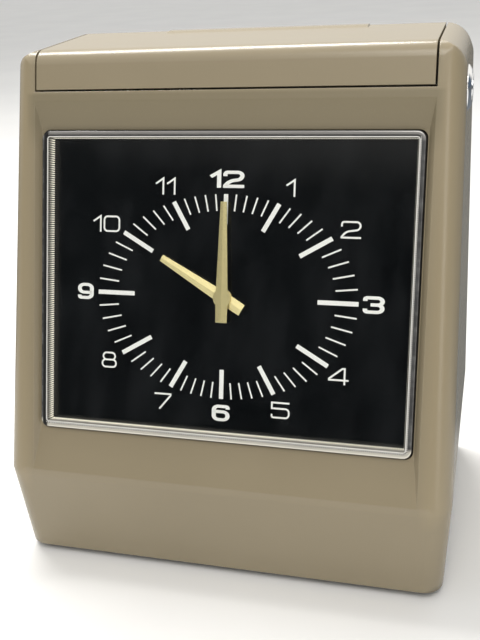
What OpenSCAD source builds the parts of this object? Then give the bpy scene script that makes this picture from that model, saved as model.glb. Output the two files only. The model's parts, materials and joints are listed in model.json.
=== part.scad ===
// Time clock with a round of hour marks behind a clear window, a lift-up top cover and a card chute.
// Millimetres. X runs to the right, Y to the back, Z up. The origin lies on the table, below the middle.

/* [Case] */
// Width of the case at the crease below the window
case_w = 208; // [204:1:216]
// Angle at which the top falls towards the front
top_lean = 1.6; // [1:0.1:2]
// How far the case's top falls behind the cover
rear_fall = 4.5; // [3.5:0.25:5]
// How far each side leans in between the crease and the top
top_in = 3.5; // [1:0.25:5]
// How far each side leans in between the crease and the bottom edge
chin_in = 2.75; // [0:0.25:3]
// Depth from the crease to the back
case_d = 139; // [136:1:150]
// Height of the top face above the table
case_h = 235.5; // [233:0.5:245]
// Height of the crease above the table
crease_h = 48.5; // [45:0.5:52]
// How far the chin slopes back at its bottom edge
chin_back = 3.5; // [2:0.5:5]
// Gap between the table and the bottom edge of the case
case_lift = 4; // [3.5:0.5:6]
// Lean of the front face from upright, in degrees
face_lean = 17.7; // [16.5:0.1:18.5]
// Thickness of the case walls
wall = 2.5; // [2:0.1:3]
// Radius of the two long front corners
corner_r = 9; // [6:0.5:12]
// Radius of the two top shoulders
shoulder_r = 12; // [9:0.5:14]
// Radius of the bend between the front face and the top
bend_r = 8; // [5:0.5:12]
// Radius of the soft roll along the crease
crease_r = 12; // [6:0.5:16]

/* [Top cover] */
// Width of the case's top strip beside the cover
lid_side = 11.7; // [10.5:0.1:13]
// Height of the cover's front skirt, along the sloping face
lid_front = 18.6; // [16:0.2:21]
// Depth of the cover's side lips
lid_lip = 6; // [4:0.5:6.5]
// Gap all round the cover
seam = 0.9; // [0.6:0.1:1.4]
// Distance from the back of the cover to the back of the case
lid_rear = 22.1; // [21.5:0.1:24]
// Width of the raised card lip at the back of the cover
lip_w = 98; // [92:1:104]
// Height of the raised card lip
lip_h = 0.5; // [0.4:0.1:1.2]
// Radius of the cover's hinge pins
lid_pin_r = 1.25; // [1:0.05:1.4]

/* [Window and dial] */
// Distance from the side of the case to the window lens
lens_side = 17.5; // [17:0.25:20]
// Distance from the crease up to the lens
lens_up = 22.2; // [21:0.1:24]
// Distance from the lens up to the cover's seam
lens_below = 17; // [16:0.1:19]
// Thickness of the lens face
lens_t = 1.8; // [1.4:0.1:2.2]
// Thickness of the lens rim
lens_rim = 3.5; // [3:0.1:4]
// Depth of the lens face below the case face
lens_drop = 1; // [0.6:0.1:1.4]
// Distance from the front of the lens to the dial
dial_deep = 6.6; // [6.4:0.1:7.2]
// Depth of the shallow recess round the window
pan_d = 3; // [2:0.1:3.4]
// Length of the slope above the window
pan_top = 12.8; // [10:0.2:14]
// Width of the slope beside the window
pan_side = 2.4; // [1.5:0.1:2.6]
// How far the hand arbor lies below the middle of the lens
dial_drop = 4.3; // [2:0.1:7]
// Thickness of the dial
dial_t = 1.2; // [0.8:0.1:1.5]
// Length of the minute hand from its axis
minute_len = 42.5; // [38:0.5:46]
// Length of the hour hand from its axis
hour_len = 33.7; // [28:0.1:36]

/* [Clock movement] */
// Teeth of the cannon pinion and of the minute wheel's pinion
pinion_teeth = 12; // [12]
// Teeth of the minute wheel
minute_teeth = 36; // [36]
// Teeth of the hour wheel
hour_teeth = 48; // [48]
// Tooth module of the cannon pinion and the minute wheel
minute_mod = 0.6; // [0.6]
// Radius of the hand arbor
arbor_r = 1.5; // [1.3:0.05:1.6]
// Running clearance of shafts in their bearings
run_gap = 0.05; // [0.03:0.01:0.08]

/* [Frame] */
// Clearance between the case's walls and the side frames
frame_gap = 8.5; // [8:0.25:9.5]
// Thickness of the sheet metal
sheet = 1.2; // [1:0.1:1.5]
// Height of the base plate above the table
base_h = 6; // [5.5:0.5:7]
// Radius of the feet
foot_r = 8; // [6:0.5:9]
// Distance from a side frame to the middle of a foot
foot_in = 16; // [10:0.5:23]
// Radius of the case's hinge pins
case_pin_r = 1.5; // [1.2:0.1:1.6]
// Distance between the wall screws
wall_pitch = 120; // [100:5:140]
// Radius of the wall screws' slots
wall_hole_r = 2.5; // [2:0.25:3]

/* [Card path] */
// Width of the time card
card_w = 86; // [82:0.5:88]
// Side play of the card in the chute
card_play = 3.6; // [2:0.2:5]
// Depth of the chute from front to back
chute_d = 5; // [4.6:0.1:5.4]
// Distance of the chute's middle from the back of the case
chute_back = 16.5; // [16:0.1:17.5]
// Distance of the chute to the right of the middle
card_x = 5; // [0:0.5:8]
// Thickness of the chute's moulded walls
guide_t = 2; // [1.6:0.1:2.2]
// Height of the card stop above the table
stop_h = 40; // [36:1:46]

/* [Printer] */
// Height of the print line above the table
print_h = 150; // [146:1:152]
// Travel of the print head
head_travel = 64; // [50:1:66]
// Advance of the carriage for one turn of the screw
screw_lead = 12.8; // [10:0.2:16]
// Radius of the lead screw
screw_r = 3.5; // [3:0.1:3.8]
// Radius of the guide rod
rod_r = 3; // [2.5:0.1:3.2]
// Teeth of the gears on the lead screw and on the feed shaft
drive_teeth = 36; // [36]
// Teeth of the motor pinions
motor_teeth = 14; // [14]
// Tooth module of the drive gears
drive_mod = 0.8; // [0.8]
// Radius of the motor cans
motor_r = 13; // [11:0.5:14]
// Length of the motor cans
motor_len = 19; // [15:0.5:22]
// Radius of the card feed rollers
feed_r = 7; // [6.4:0.1:7.4]
// Radius of the feed shaft
feed_shaft_r = 2; // [1.5:0.1:2.1]
// Radius of the pinch rollers
pinch_r = 5; // [4:0.1:5.2]
// Height of the feed rollers above the table
feed_h = 112; // [108:1:116]
// Height of the ink ribbon
ribbon_h = 13; // [10:0.5:14]

/* [Lock and buttons] */
// Radius of the lock's visible ring
lock_r = 9.7; // [9:0.1:11]
// Radius of the lock barrel
barrel_r = 8; // [7:0.1:8.4]
// Distance of the lock below the top of the case
lock_down = 23.2; // [22.5:0.1:24.5]
// Distance of the lock behind the sloping face at its own height
lock_in = 26.2; // [24.5:0.1:28]
// Length of the lock's cam arm
cam_len = 20; // [16:0.5:21]
// Travel of the setting buttons
button_travel = 1.5; // [1:0.1:1.6]

/* [Hidden] */
$fn = 96;

case_color = "#8c7e64";
steel_color = "#a7abad";
dark_color = "#26282b";
brass_color = "#b7954d";
white_color = "#e4e2da";

// Case lines
front_y = -case_d / 2;
back_y = case_d / 2;
chin_lean = atan(chin_back / (crease_h - case_lift));
face_len = (case_h - crease_h) / cos(face_lean);
side_draft = top_in / (case_h - crease_h);
chin_draft = chin_in / (crease_h - case_lift);
lid_w = case_w - 2 * top_in - 2 * lid_side;
notch_w = lid_w + 2 * seam;
notch_lip = 2;
notch_lip_d = 7;
seam_up = face_len - lid_front - seam;
overlap = 1;

// Case hinge
case_pin_y = front_y + 8.5;
case_pin_z = case_lift + 5;

// Cover hinge
lid_back_y = back_y - lid_rear;
lid_pin_y = lid_back_y - 1.9;
rear_lean = atan(rear_fall / lid_rear);
lid_pin_z = case_h - 5.7;
lid_ear_r = lid_pin_r + 1.35;
lid_ear_x = lid_w / 2 - 6.3;
lid_ear_w = 3.5;

// Window, and the stack behind it as depths below the case face
lens_w = case_w - 2 * lens_side;
lens_h = seam_up - lens_below - lens_up;
dial_up = lens_up + lens_h / 2 - dial_drop;
lens_floor = lens_drop + lens_t;
lens_foot = lens_drop + dial_deep - 0.8;
dial_face = lens_drop + dial_deep;
dial_rear = dial_face + dial_t;
bracket_rear = dial_rear + sheet;
flange_t = 1.2;
flange_w = 3;
plate_gap = 1.5;
plate_t = 2;
front_plate = bracket_rear + plate_gap;
plates_apart = 11.5;
rear_plate = front_plate + plate_t + plates_apart;
hour_level = dial_face - 1.1;
minute_level = hour_level - 1.7;
hand_t = 1;
arbor_in = 0.6;
pipe_r = 3;
hub_r = 4.1;

// Motion work
gear_play = 0.14;
minute_dist = minute_mod * (pinion_teeth + minute_teeth) / 2;
hour_mod = 2 * minute_dist / (pinion_teeth + hour_teeth);
clock_mod = 0.5;
clock_teeth = 48;
clock_dist = clock_mod * (pinion_teeth + clock_teeth) / 2;
minute_dir = 225;
clock_dir = 20;

// Frame
sheet_in = case_w / 2 - wall - frame_gap;
case_hook_x = sheet_in - 23;
foot_x = sheet_in - foot_in;
base_front = case_pin_y + 5;
base_rear = back_y - 1.5;
base_top = base_h + sheet;
frame_step_y = back_y - 41.5;
frame_step_z = case_h - 47.5;
frame_slope = 14;
wall_hole_z = 75;
foot_pin_r = 2;

// Card path
card_y = back_y - chute_back;
chute_w = card_w + card_play;
chute_front = card_y - chute_d / 2;
chute_rear = card_y + chute_d / 2;
guide_w = chute_w + 2 * guide_t;
throat_top = case_h - 7.7;
throat_t = 2.5;
funnel = 1.4;
frame_top = throat_top - throat_t;

// Printer
rod_y = chute_front - 18.5;
screw_y = rod_y - 14;
rod_z = print_h - 17;
head_home = card_x - head_travel / 2;
drive_dist = drive_mod * (drive_teeth + motor_teeth) / 2;
drive_dir = 210;
gear_t = 2.5;
ribbon_y = chute_front - guide_t - 0.3;
ribbon_t = 0.15;
spool_r = 14;
spool_y = rod_y - 2;
spool_x = chute_w / 2 + 18.2;
spool_left_x = card_x - spool_x;
spool_right_x = card_x + spool_x;
ribbon_post_x = chute_w / 2 + 7.2;
ribbon_post_r = 1.2;
cover_z = print_h + 10.5;
feed_y = card_y - 0.1 - feed_r;
pinch_y = card_y + 0.4 + pinch_r;
roller_x = 22;
roller_w = 12;

// Electrics
cell_r = 7.2;
battery_y = base_front + 16.5;
trans_x = sheet_in - 63;
trans_y = battery_y + 2 * cell_r + 27.1;
board_x0 = 9 - sheet_in;
board_x1 = trans_x - 14;
board_y0 = base_front + 14;
board_y1 = back_y - 29.5;
board_z = 18;
board_t = 1.6;
inlet_x = sheet_in - 33;
inlet_z = 27;

// Lock and buttons
lock_h = case_h - lock_down;
lock_y = face_line(lock_h, 0) + lock_in;
lock_seat_x = case_w / 2 - side_draft * (lock_h - crease_h) - 0.25;
lock_deep = 8.2;
ring_t = 1.9;
plug_r = 6;
plug_neck_r = 3.5;
panel_z = case_h - 15.5;
panel_x0 = -sheet_in;
panel_y0 = frame_step_y - 26;
button_y = panel_y0 + 14;
button_xs = [panel_x0 + 21, panel_x0 + 37, panel_x0 + 53];
cam_w = 9;
cam_t = 2;
keeper_gap = 1;

function unit(v) = v / norm(v);
function on_circle(r, a) = [r * cos(a), r * sin(a)];
// Half width of the case's front at a height
function half_at(z) = z > crease_h
    ? case_w / 2 - side_draft * (z - crease_h)
    : case_w / 2 - chin_draft * (crease_h - z);
// Depth of the face line and the chin line at a height, moved in by d
function face_line(z, d) = front_y + (z - crease_h) * tan(face_lean) + d / cos(face_lean);
function chin_line(z, d) = front_y + (crease_h - z) * tan(chin_lean) + d / cos(chin_lean);
function crease_at(d) =
    crease_h + d * (1 / cos(chin_lean) - 1 / cos(face_lean)) / (tan(face_lean) + tan(chin_lean));

// Frame of the sloping face: x to the right, y up the face, z out of it
module on_face() {
    translate([0, front_y, crease_h]) rotate([90 - face_lean, 0, 0]) children();
}

// Frame of the hand arbor: z out of the face, zero on the case face
module on_arbor() {
    on_face() translate([0, dial_up, 0]) children();
}

// Frame of the chin: y up the chin to the crease, z out of it
module on_chin() {
    translate([0, front_y, crease_h]) rotate([90 + chin_lean, 0, 0]) children();
}

// Extrude an outline drawn in Y and Z along X, centred
module across(w) {
    rotate([90, 0, 90]) linear_extrude(w, center = true) children();
}

// Extrude an outline drawn in Y and Z from x0 to x1
module across_from(x0, x1) {
    translate([x0, 0, 0]) rotate([90, 0, 90]) linear_extrude(x1 - x0) children();
}

// Round bar along X
module bar_x(x0, x1, y, z, r) {
    translate([x0, y, z]) rotate([0, 90, 0]) cylinder(h = x1 - x0, r = r);
}

// Box from one corner to the other
module box(low, high) {
    translate(low) cube(high - low);
}

// Rectangle with round corners, centred
module round_rect(w, h, r) {
    square([w - 2 * r, h], center = true);
    square([w, h - 2 * r], center = true);
    for (x = [-1, 1], y = [-1, 1]) translate([x * (w / 2 - r), y * (h / 2 - r)]) circle(r);
}

// Slot w wide and h long over its round ends, centred
module slot(w, h) {
    square([w, h - w], center = true);
    for (y = [-1, 1]) translate([0, y * (h - w) / 2]) circle(w / 2);
}

// What a round corner of radius r at b, between a and c, takes away
module corner_cut(a, b, c, r) {
    u = unit(a - b);
    v = unit(c - b);
    half = acos(u * v) / 2;
    o = b + unit(u + v) * r / sin(half);
    t1 = b + u * r / tan(half);
    t2 = b + v * r / tan(half);
    difference() {
        polygon([o, o + (t1 - o) * 1.5, o + (b - o) * 1.5, o + (t2 - o) * 1.5]);
        translate(o) circle(r);
    }
}

// Height at which the leaning face, moved in by d, meets the falling top
function bend_at(d) =
    let (fall = tan(top_lean), lean = tan(face_lean), start = front_y - crease_h * lean + d / cos(face_lean))
    (case_h - d - (lid_back_y - start) * fall) / (1 - fall * lean);

// Side outline of the case, moved in by d, from z = low to y = far
module side_outline(d, low, far) {
    chin = [chin_line(low, d), low];
    crease = [face_line(crease_at(d), d), crease_at(d)];
    bend = [face_line(bend_at(d), d), bend_at(d)];
    crest = [lid_back_y, case_h - d];
    rear = [far, case_h - d - (far - lid_back_y) * tan(rear_lean)];
    difference() {
        polygon([chin, crease, bend, crest, rear, [far, low]]);
        corner_cut(chin, crease, bend, crease_r - d);
        corner_cut(crease, bend, crest, bend_r - min(d, bend_r - 1));
    }
}

// Front outline of the case, moved in by d
module front_outline(d, low) {
    bottom = [half_at(low) - d, low];
    crease = [case_w / 2 - d, crease_h];
    top = [half_at(case_h - d) - d, case_h - d];
    polygon([
        bottom, crease, top,
        [-top[0], top[1]], [-crease[0], crease[1]], [-bottom[0], bottom[1]]
    ]);
}

// What the rounding of a long corner takes away, along Y of the frame it is in
module edge_cut(len, r, flare = 0) {
    rotate([90, 0, 0]) linear_extrude(len, center = true)
        corner_cut([-2 * r, 0], [0, 0], [2 * r * flare, -2 * r], r);
}

// Outer form of the case, moved in by d
module case_form(d, low, far) {
    difference() {
        intersection() {
            across(case_w + 10) side_outline(d, low, far);
            rotate([90, 0, 0]) linear_extrude(case_d + 20, center = true) front_outline(d, low);
        }
        for (side = [0, 1]) mirror([side, 0, 0]) {
            // shoulders along the falling top and along the slope behind the cover
            for (turn = [top_lean, -rear_lean])
                translate([half_at(case_h - d) - d, lid_back_y, case_h - d]) rotate([turn, 0, 0])
                rotate([0, 0, atan(side_draft * sin(turn))]) edge_cut(2 * case_d, shoulder_r - d, side_draft);
            on_face() translate([case_w / 2 - d, 0, -d])
                rotate([0, 0, atan(top_in / face_len)])
                translate([0, face_len / 2, 0]) edge_cut(face_len + 60, corner_r - d);
            on_chin() translate([case_w / 2 - d, 0, -d])
                rotate([0, 0, -atan(chin_draft)])
                translate([0, -crease_h / 2, 0]) edge_cut(crease_h + 60, corner_r - d);
        }
    }
}

// Wedge of the shallow recess round the window, sunk by d and widened by g
module pan(d, g) {
    lens_top = lens_up + lens_h;
    on_face() intersection() {
        across(notch_w + 2 * g) polygon([
            [lens_top + pan_top + d * 0.3, 4],
            [lens_top + pan_top + d * 0.3, -d],
            [lens_top + 0.6, -pan_d - d],
            [lens_up - 0.6, -pan_d - d],
            [1.5 - d * 0.1, -d],
            [1.5 - d * 0.1, 4]
        ]);
        rotate([90, 0, 0]) linear_extrude(3 * face_len, center = true) polygon([
            [-notch_w / 2 - g, 4],
            [-notch_w / 2 - g, -d],
            [-notch_w / 2 - g + pan_side, -pan_d - d],
            [notch_w / 2 + g - pan_side, -pan_d - d],
            [notch_w / 2 + g, -d],
            [notch_w / 2 + g, 4]
        ]);
    }
}

// Outline of the window, grown by g
module window_outline(g) {
    translate([0, lens_up + lens_h / 2]) round_rect(lens_w + 2 * g, lens_h + 2 * g, 3.2 + g);
}

// Strip of the case's profile between two depths and two sides
module profile_strip(x0, x1, d) {
    across_from(x0, x1) difference() {
        side_outline(0, case_lift, back_y);
        side_outline(d, case_lift - overlap, back_y + overlap);
    }
}

// Region above the seam across the face
module above_seam(s, w) {
    on_face() translate([-w / 2, s, -2 * case_d]) cube([w, face_len, 3 * case_d]);
}

module front_case() {
    lip_x = notch_w / 2;
    color(case_color) difference() {
        union() {
            difference() {
                case_form(0, case_lift, back_y);
                difference() {
                    case_form(wall, case_lift - overlap, back_y + overlap);
                    pan(wall, 1.2);
                    // lips down both sides of the notch and along its front edge
                    for (side = [0, 1]) mirror([side, 0, 0]) intersection() {
                        across_from(lip_x - overlap, lip_x + notch_lip) difference() {
                            translate([front_y, 0]) square([2 * case_d, 2 * case_h]);
                            side_outline(notch_lip_d, 0, back_y + 2 * overlap);
                            translate([lid_back_y - 2 * notch_lip_d, 0])
                                square([case_d, case_h - notch_lip_d]);
                        }
                        above_seam(seam_up - notch_lip, case_w);
                    }
                    on_face() translate([-lip_x, seam_up - notch_lip, -notch_lip_d])
                        cube([notch_w, notch_lip + overlap, notch_lip_d + overlap]);
                }
                above_seam(seam_up, notch_w);
            }
            for (x = [-60, 0, 60]) {
                lens_hook(x, lens_up + lens_h, 1);
                lens_hook(x, lens_up, -1);
            }
            // hooks that turn on the frame's pins
            for (side = [0, 1]) mirror([side, 0, 0]) case_hook();
            // flat seat behind the lock
            intersection() {
                bar_x(lock_seat_x - wall - 1, case_w / 2, lock_y, lock_h, lock_r + 3);
                case_form(0, case_lift, back_y);
            }
        }
        pan(0, 0);
        on_face() translate([0, 0, -20]) linear_extrude(40) window_outline(0.3);
        bar_x(lock_seat_x, case_w, lock_y, lock_h, lock_r + 0.25);
        bar_x(lock_seat_x - lock_deep, case_w, lock_y, lock_h, barrel_r + 0.15);
    }
}

// Snap hook of the case behind the lens flange: dir is 1 above the window and -1 below it
module lens_hook(x, s, dir) {
    on_face() translate([x, s, 0]) mirror([0, dir > 0 ? 0 : 1, 0]) {
        translate([-4, flange_w + 0.3, -lens_foot - 1.5]) cube([8, 1.6, lens_foot - pan_d]);
        translate([-4, flange_w - 1, -lens_foot - 1.5]) cube([8, 2.9, 1.3]);
    }
}

// One hook at the foot of the case, open below so that the case lifts off
module case_hook() {
    ring = case_pin_r + 1.9;
    hook_t = 2.4;
    x0 = case_hook_x + 1.6;
    wall_y = chin_line(case_pin_z, wall) - 0.5;
    difference() {
        union() {
            bar_x(x0, x0 + hook_t, case_pin_y, case_pin_z, ring);
            box([x0, wall_y, case_pin_z], [x0 + hook_t, case_pin_y, case_pin_z + ring]);
            box([x0, chin_line(case_pin_z + 14, wall) - 0.5, case_pin_z + ring - 1],
                [x0 + hook_t, case_pin_y - 1, case_pin_z + 14]);
        }
        bar_x(x0 - 1, x0 + hook_t + 1, case_pin_y, case_pin_z, case_pin_r + run_gap);
        translate([x0 - 1, case_pin_y, case_pin_z]) rotate([-45, 0, 0])
            translate([0, -case_pin_r - run_gap, -ring - 2])
            cube([hook_t + 2, 2 * (case_pin_r + run_gap), ring + 2]);
    }
}

// One bevel along an edge of the lens, w long
module bevel(w, size) {
    rotate([45, 0, 0]) cube([w, size * sqrt(2), size * sqrt(2)], center = true);
}

module window_lens() {
    bevel_d = 1.3;
    mid = lens_up + lens_h / 2;
    color("#cfd8dc", 0.45) on_face() difference() {
        union() {
            translate([0, 0, -lens_foot]) linear_extrude(lens_foot - lens_drop) window_outline(0);
            translate([0, 0, -lens_foot]) linear_extrude(flange_t) window_outline(flange_w);
        }
        translate([0, mid, -lens_foot - overlap]) linear_extrude(lens_foot + overlap - lens_floor)
            round_rect(lens_w - 2 * lens_rim, lens_h - 2 * lens_rim, 1);
        for (a = [0, 1]) {
            translate([0, mid, -lens_drop]) mirror([0, a, 0]) translate([0, lens_h / 2, 0])
                bevel(lens_w + 10, bevel_d);
            translate([0, mid, -lens_drop]) mirror([a, 0, 0]) translate([lens_w / 2, 0, 0])
                rotate([0, 0, 90]) bevel(lens_h + 10, bevel_d);
        }
    }
}

module lock_barrel() {
    color("#d3d6d8") difference() {
        union() {
            bar_x(lock_seat_x, lock_seat_x + ring_t, lock_y, lock_h, lock_r);
            bar_x(lock_seat_x - lock_deep, lock_seat_x + 1, lock_y, lock_h, barrel_r);
        }
        bar_x(lock_seat_x - 2 * lock_deep, lock_seat_x + 2 * ring_t, lock_y, lock_h, plug_r + run_gap);
    }
}

module lock_nut() {
    nut_t = 3;
    color(steel_color) difference() {
        bar_hex(lock_seat_x - wall - 1 - nut_t, lock_seat_x - wall - 1, 2 * barrel_r + 4);
        bar_x(lock_seat_x - 2 * lock_deep, lock_seat_x, lock_y, lock_h, barrel_r);
    }
}

// Hexagonal bar along X on the lock's axis
module bar_hex(x0, x1, flats) {
    translate([x0, lock_y, lock_h]) rotate([0, 90, 0]) cylinder(h = x1 - x0, d = flats / cos(30), $fn = 6);
}

module lock_plug() {
    key_w = 1.4;
    key_h = 7.2;
    color("#c2c5c8") difference() {
        union() {
            bar_x(lock_seat_x - lock_deep, lock_seat_x + ring_t + 0.4, lock_y, lock_h, plug_r);
            bar_x(cam_x() - 0.4, lock_seat_x - lock_deep + 0.2, lock_y, lock_h, plug_neck_r);
        }
        // key slot, upright when locked
        box([lock_seat_x - 3, lock_y - key_w / 2, lock_h - key_h / 2],
            [lock_seat_x + 2 * ring_t, lock_y + key_w / 2, lock_h + key_h / 2]);
        bar_x(lock_seat_x + ring_t, lock_seat_x + 2 * ring_t, lock_y, lock_h, 2.2);
    }
}

// Inner face of the lock's cam
function cam_x() = lock_seat_x - lock_deep - 2.4;

module lock_cam() {
    x0 = cam_x();
    color(steel_color) difference() {
        across_from(x0, x0 + cam_t) union() {
            translate([lock_y, lock_h]) circle(plug_r + 0.5);
            translate([lock_y, lock_h - cam_w / 2]) square([cam_len - cam_w / 2, cam_w]);
            translate([lock_y + cam_len - cam_w / 2, lock_h]) circle(cam_w / 2);
        }
        bar_x(x0 - 1, x0 + cam_t + 1, lock_y, lock_h, plug_neck_r);
    }
}

module top_cover() {
    half = lid_w / 2;
    lip_front = lid_back_y - 8;
    lip_foot = case_h - 8 * tan(top_lean);
    color(case_color) difference() {
        union() {
            intersection() {
                union() {
                    profile_strip(-half, half, wall);
                    for (side = [0, 1]) mirror([side, 0, 0]) {
                        profile_strip(half - 2, half, lid_lip);
                        // stiffening rib under the cover
                        profile_strip(half / 2 - 0.8, half / 2 + 0.8, lid_lip - 1.5);
                    }
                }
                above_seam(seam_up + seam, case_w);
                box([-case_w, -case_d, 0], [case_w, lid_back_y, case_h + 10]);
            }
            // raised lip in front of the card throat, sloping up to the back
            across_from(card_x - lip_w / 2, card_x + lip_w / 2) polygon([
                [lip_front, case_h - 1], [lip_front, lip_foot], [lip_front + 3, case_h + lip_h],
                [lid_back_y, case_h + lip_h], [lid_back_y, case_h - 1]
            ]);
            // hinge knuckles
            for (side = [0, 1]) mirror([side, 0, 0]) {
                x1 = lid_ear_x - 0.5;
                bar_x(x1 - lid_ear_w, x1, lid_pin_y, lid_pin_z, lid_ear_r);
                box([x1 - lid_ear_w, lid_pin_y - lid_ear_r, lid_pin_z],
                    [x1, lid_pin_y + 1.4, case_h - 1]);
            }
        }
        bar_x(-lid_ear_x - 1, lid_ear_x + 1, lid_pin_y, lid_pin_z, lid_pin_r + run_gap);
    }
}

module hinge_pins() {
    color(steel_color) for (side = [0, 1]) mirror([side, 0, 0]) {
        bar_x(lid_ear_x - lid_ear_w - 1, lid_ear_x + lid_ear_w, lid_pin_y, lid_pin_z, lid_pin_r);
        bar_x(case_hook_x - 2.5, case_hook_x + 5, case_pin_y, case_pin_z, case_pin_r);
        // round head that keeps the case's hook on its pin
        bar_x(case_hook_x + 4.6, case_hook_x + 6, case_pin_y, case_pin_z, case_pin_r + 0.8);
    }
}

module base_plate() {
    half = sheet_in - 0.2;
    color(steel_color) difference() {
        union() {
            box([-half, base_front, base_h], [half, base_rear, base_top]);
            box([-half, base_front, base_h], [half, base_front + sheet, base_h + 12]);
            for (side = [0, 1]) mirror([side, 0, 0]) {
                box([half - sheet, base_front, base_h], [half, base_rear, base_h + 12]);
                case_lug();
            }
        }
        // air slots under the transformer
        for (i = [0:6]) translate([trans_x - 4 + i * 8, trans_y + 2, base_h - 1]) linear_extrude(5) slot(4, 40);
        at_feet() translate([0, 0, base_h - 1]) cylinder(h = 5, r = foot_pin_r);
    }
}

// Middles of the four feet
module at_feet() {
    for (x = [-foot_x, foot_x], y = [base_front + foot_r + 2, base_rear - foot_r - 8])
        translate([x, y, 0]) children();
}

// Upright lug of the base plate with a hole for the case's pin
module case_lug() {
    difference() {
        across_from(case_hook_x - 1, case_hook_x + 1) union() {
            translate([case_pin_y, case_pin_z]) circle(case_pin_r + 1);
            translate([case_pin_y, base_h + 0.5]) square([7, case_pin_z + case_pin_r + 1 - base_h - 0.5]);
        }
        bar_x(case_hook_x - 2, case_hook_x + 2, case_pin_y, case_pin_z, case_pin_r);
    }
}

module feet() {
    color(dark_color) at_feet() difference() {
        union() {
            cylinder(h = base_h, r = foot_r);
            cylinder(h = base_top, r = foot_pin_r);
        }
        translate([0, 0, -1]) cylinder(h = 3, r = 3.5);
    }
}

module back_plate() {
    rear_t = 1.5;
    y0 = back_y - rear_t;
    half = sheet_in + sheet + 1.8;
    key_z = case_h - 45;
    color(steel_color) difference() {
        union() {
            box([-half, y0, base_h], [half, back_y, throat_top - 6]);
            translate([0, back_y, throat_top - 12]) rotate([90, 0, 0]) linear_extrude(rear_t)
                round_rect(2 * half, 24, 6);
        }
        // keyholes for the upper wall screws
        for (x = [-wall_pitch / 2, wall_pitch / 2]) {
            translate([x, back_y + 1, key_z]) rotate([90, 0, 0]) cylinder(h = 5, r = 2 * wall_hole_r);
            translate([x, back_y + 1, key_z + 9]) rotate([90, 0, 0]) cylinder(h = 5, r = wall_hole_r);
            box([x - wall_hole_r, y0 - 1, key_z], [x + wall_hole_r, back_y + 1, key_z + 9]);
        }
        // round holes for the lower wall screws
        for (x = [-wall_pitch / 2, wall_pitch / 2])
            translate([x, back_y + 1, wall_hole_z]) rotate([90, 0, 0]) cylinder(h = 5, r = wall_hole_r);
        // cut-out for the power inlet
        translate([inlet_x, back_y + 1, inlet_z]) rotate([90, 0, 0]) linear_extrude(5) round_rect(24, 17, 2);
    }
}

// Side outline that both side frames share
module frame_outline() {
    function slope_y(z) = face_line(z, frame_slope);
    low = base_top;
    knee = crease_h + 12;
    upper = frame_step_z - rod_z;
    difference() {
        polygon([
            [slope_y(knee), low + 6], [slope_y(knee) + 6, low],
            [base_rear, low], [base_rear, frame_top],
            [frame_step_y, frame_top], [frame_step_y, frame_step_z],
            [slope_y(frame_step_z), frame_step_z], [slope_y(knee), knee]
        ]);
        // weight holes with round corners
        translate([back_y - 49.5, crease_h + 13.5]) round_rect(70, 50, 8);
        translate([frame_step_y - 22, rod_z + 0.58 * upper]) round_rect(20, 0.47 * upper, 6);
        translate([back_y - 19.5, frame_top - 30.3]) round_rect(18, 34, 6);
    }
}

// Side frame seen from its own side: side is -1 on the left and 1 on the right
module side_frame(side) {
    x0 = side > 0 ? sheet_in : -sheet_in - sheet;
    in0 = side > 0 ? sheet_in - 10 : -sheet_in;
    difference() {
        union() {
            across_from(x0, x0 + sheet) frame_outline();
            // bent flanges on the back plate and under the throat
            box([in0, back_y - 1.5 - sheet, 110], [in0 + 10, back_y - 1.5, 160]);
            box([in0, frame_step_y, frame_top - sheet], [in0 + 10, back_y - 1.5, frame_top]);
        }
        shaft_holes(x0);
    }
}

// Bearing holes that go through a side frame
module shaft_holes(x0) {
    holes = [
        [rod_y, rod_z, rod_r], [screw_y, rod_z, screw_r - 0.5 + run_gap], [feed_y, feed_h, feed_shaft_r + run_gap],
        [screw_y + drive_dist * cos(drive_dir), rod_z + drive_dist * sin(drive_dir), 4],
        [feed_y + drive_dist * cos(drive_dir), feed_h + drive_dist * sin(drive_dir), 4]
    ];
    for (h = holes) bar_x(x0 - 12, x0 + 12, h[0], h[1], h[2]);
}

module side_frame_left() {
    color(steel_color) side_frame(-1);
}

module side_frame_right() {
    color(steel_color) side_frame(1);
}

// Angle on the right side frame that stands before the cam once the lock is turned
module lock_keeper() {
    keeper_y = lock_y - cam_w / 2 - keeper_gap;
    keeper_z = lock_h - cam_len + 6;
    color(steel_color) difference() {
        union() {
            box([sheet_in - sheet, keeper_y - 9, frame_step_z - 9], [sheet_in, keeper_y, keeper_z]);
            box([cam_x() - 1, keeper_y - sheet, keeper_z - 7], [sheet_in, keeper_y, keeper_z]);
        }
        bar_x(sheet_in - 4, sheet_in + 1, keeper_y - 5, frame_step_z - 4.5, 1.6);
    }
}

module dial_bracket() {
    w = lens_w - 2;
    ear_h = lens_h - 45.6;
    ear_d = frame_slope + 10.5;
    // two windows side by side, clear of the movement
    rib = 6;
    clear_x = 36.5;
    window_w = (w / 2 - clear_x - rib - 5) / 2;
    color(steel_color) on_face() difference() {
        union() {
            translate([-w / 2, lens_up, -bracket_rear]) cube([w, lens_h, sheet]);
            for (side = [0, 1]) mirror([side, 0, 0]) {
                translate([w / 2 - sheet, lens_up + 10, -bracket_rear])
                    cube([sheet_in - w / 2 + sheet, ear_h, sheet]);
                translate([sheet_in - sheet, lens_up + 10, -ear_d]) cube([sheet, ear_h, ear_d - dial_rear]);
            }
        }
        translate([0, dial_up, -bracket_rear - 1]) cylinder(h = 4, r = 5);
        for (side = [-1, 1], i = [0, 1])
            translate([side * (clear_x + window_w / 2 + i * (window_w + rib)), dial_up, -bracket_rear - 1])
                linear_extrude(4) round_rect(window_w, lens_h - 67.6, 6);
    }
}

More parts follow.
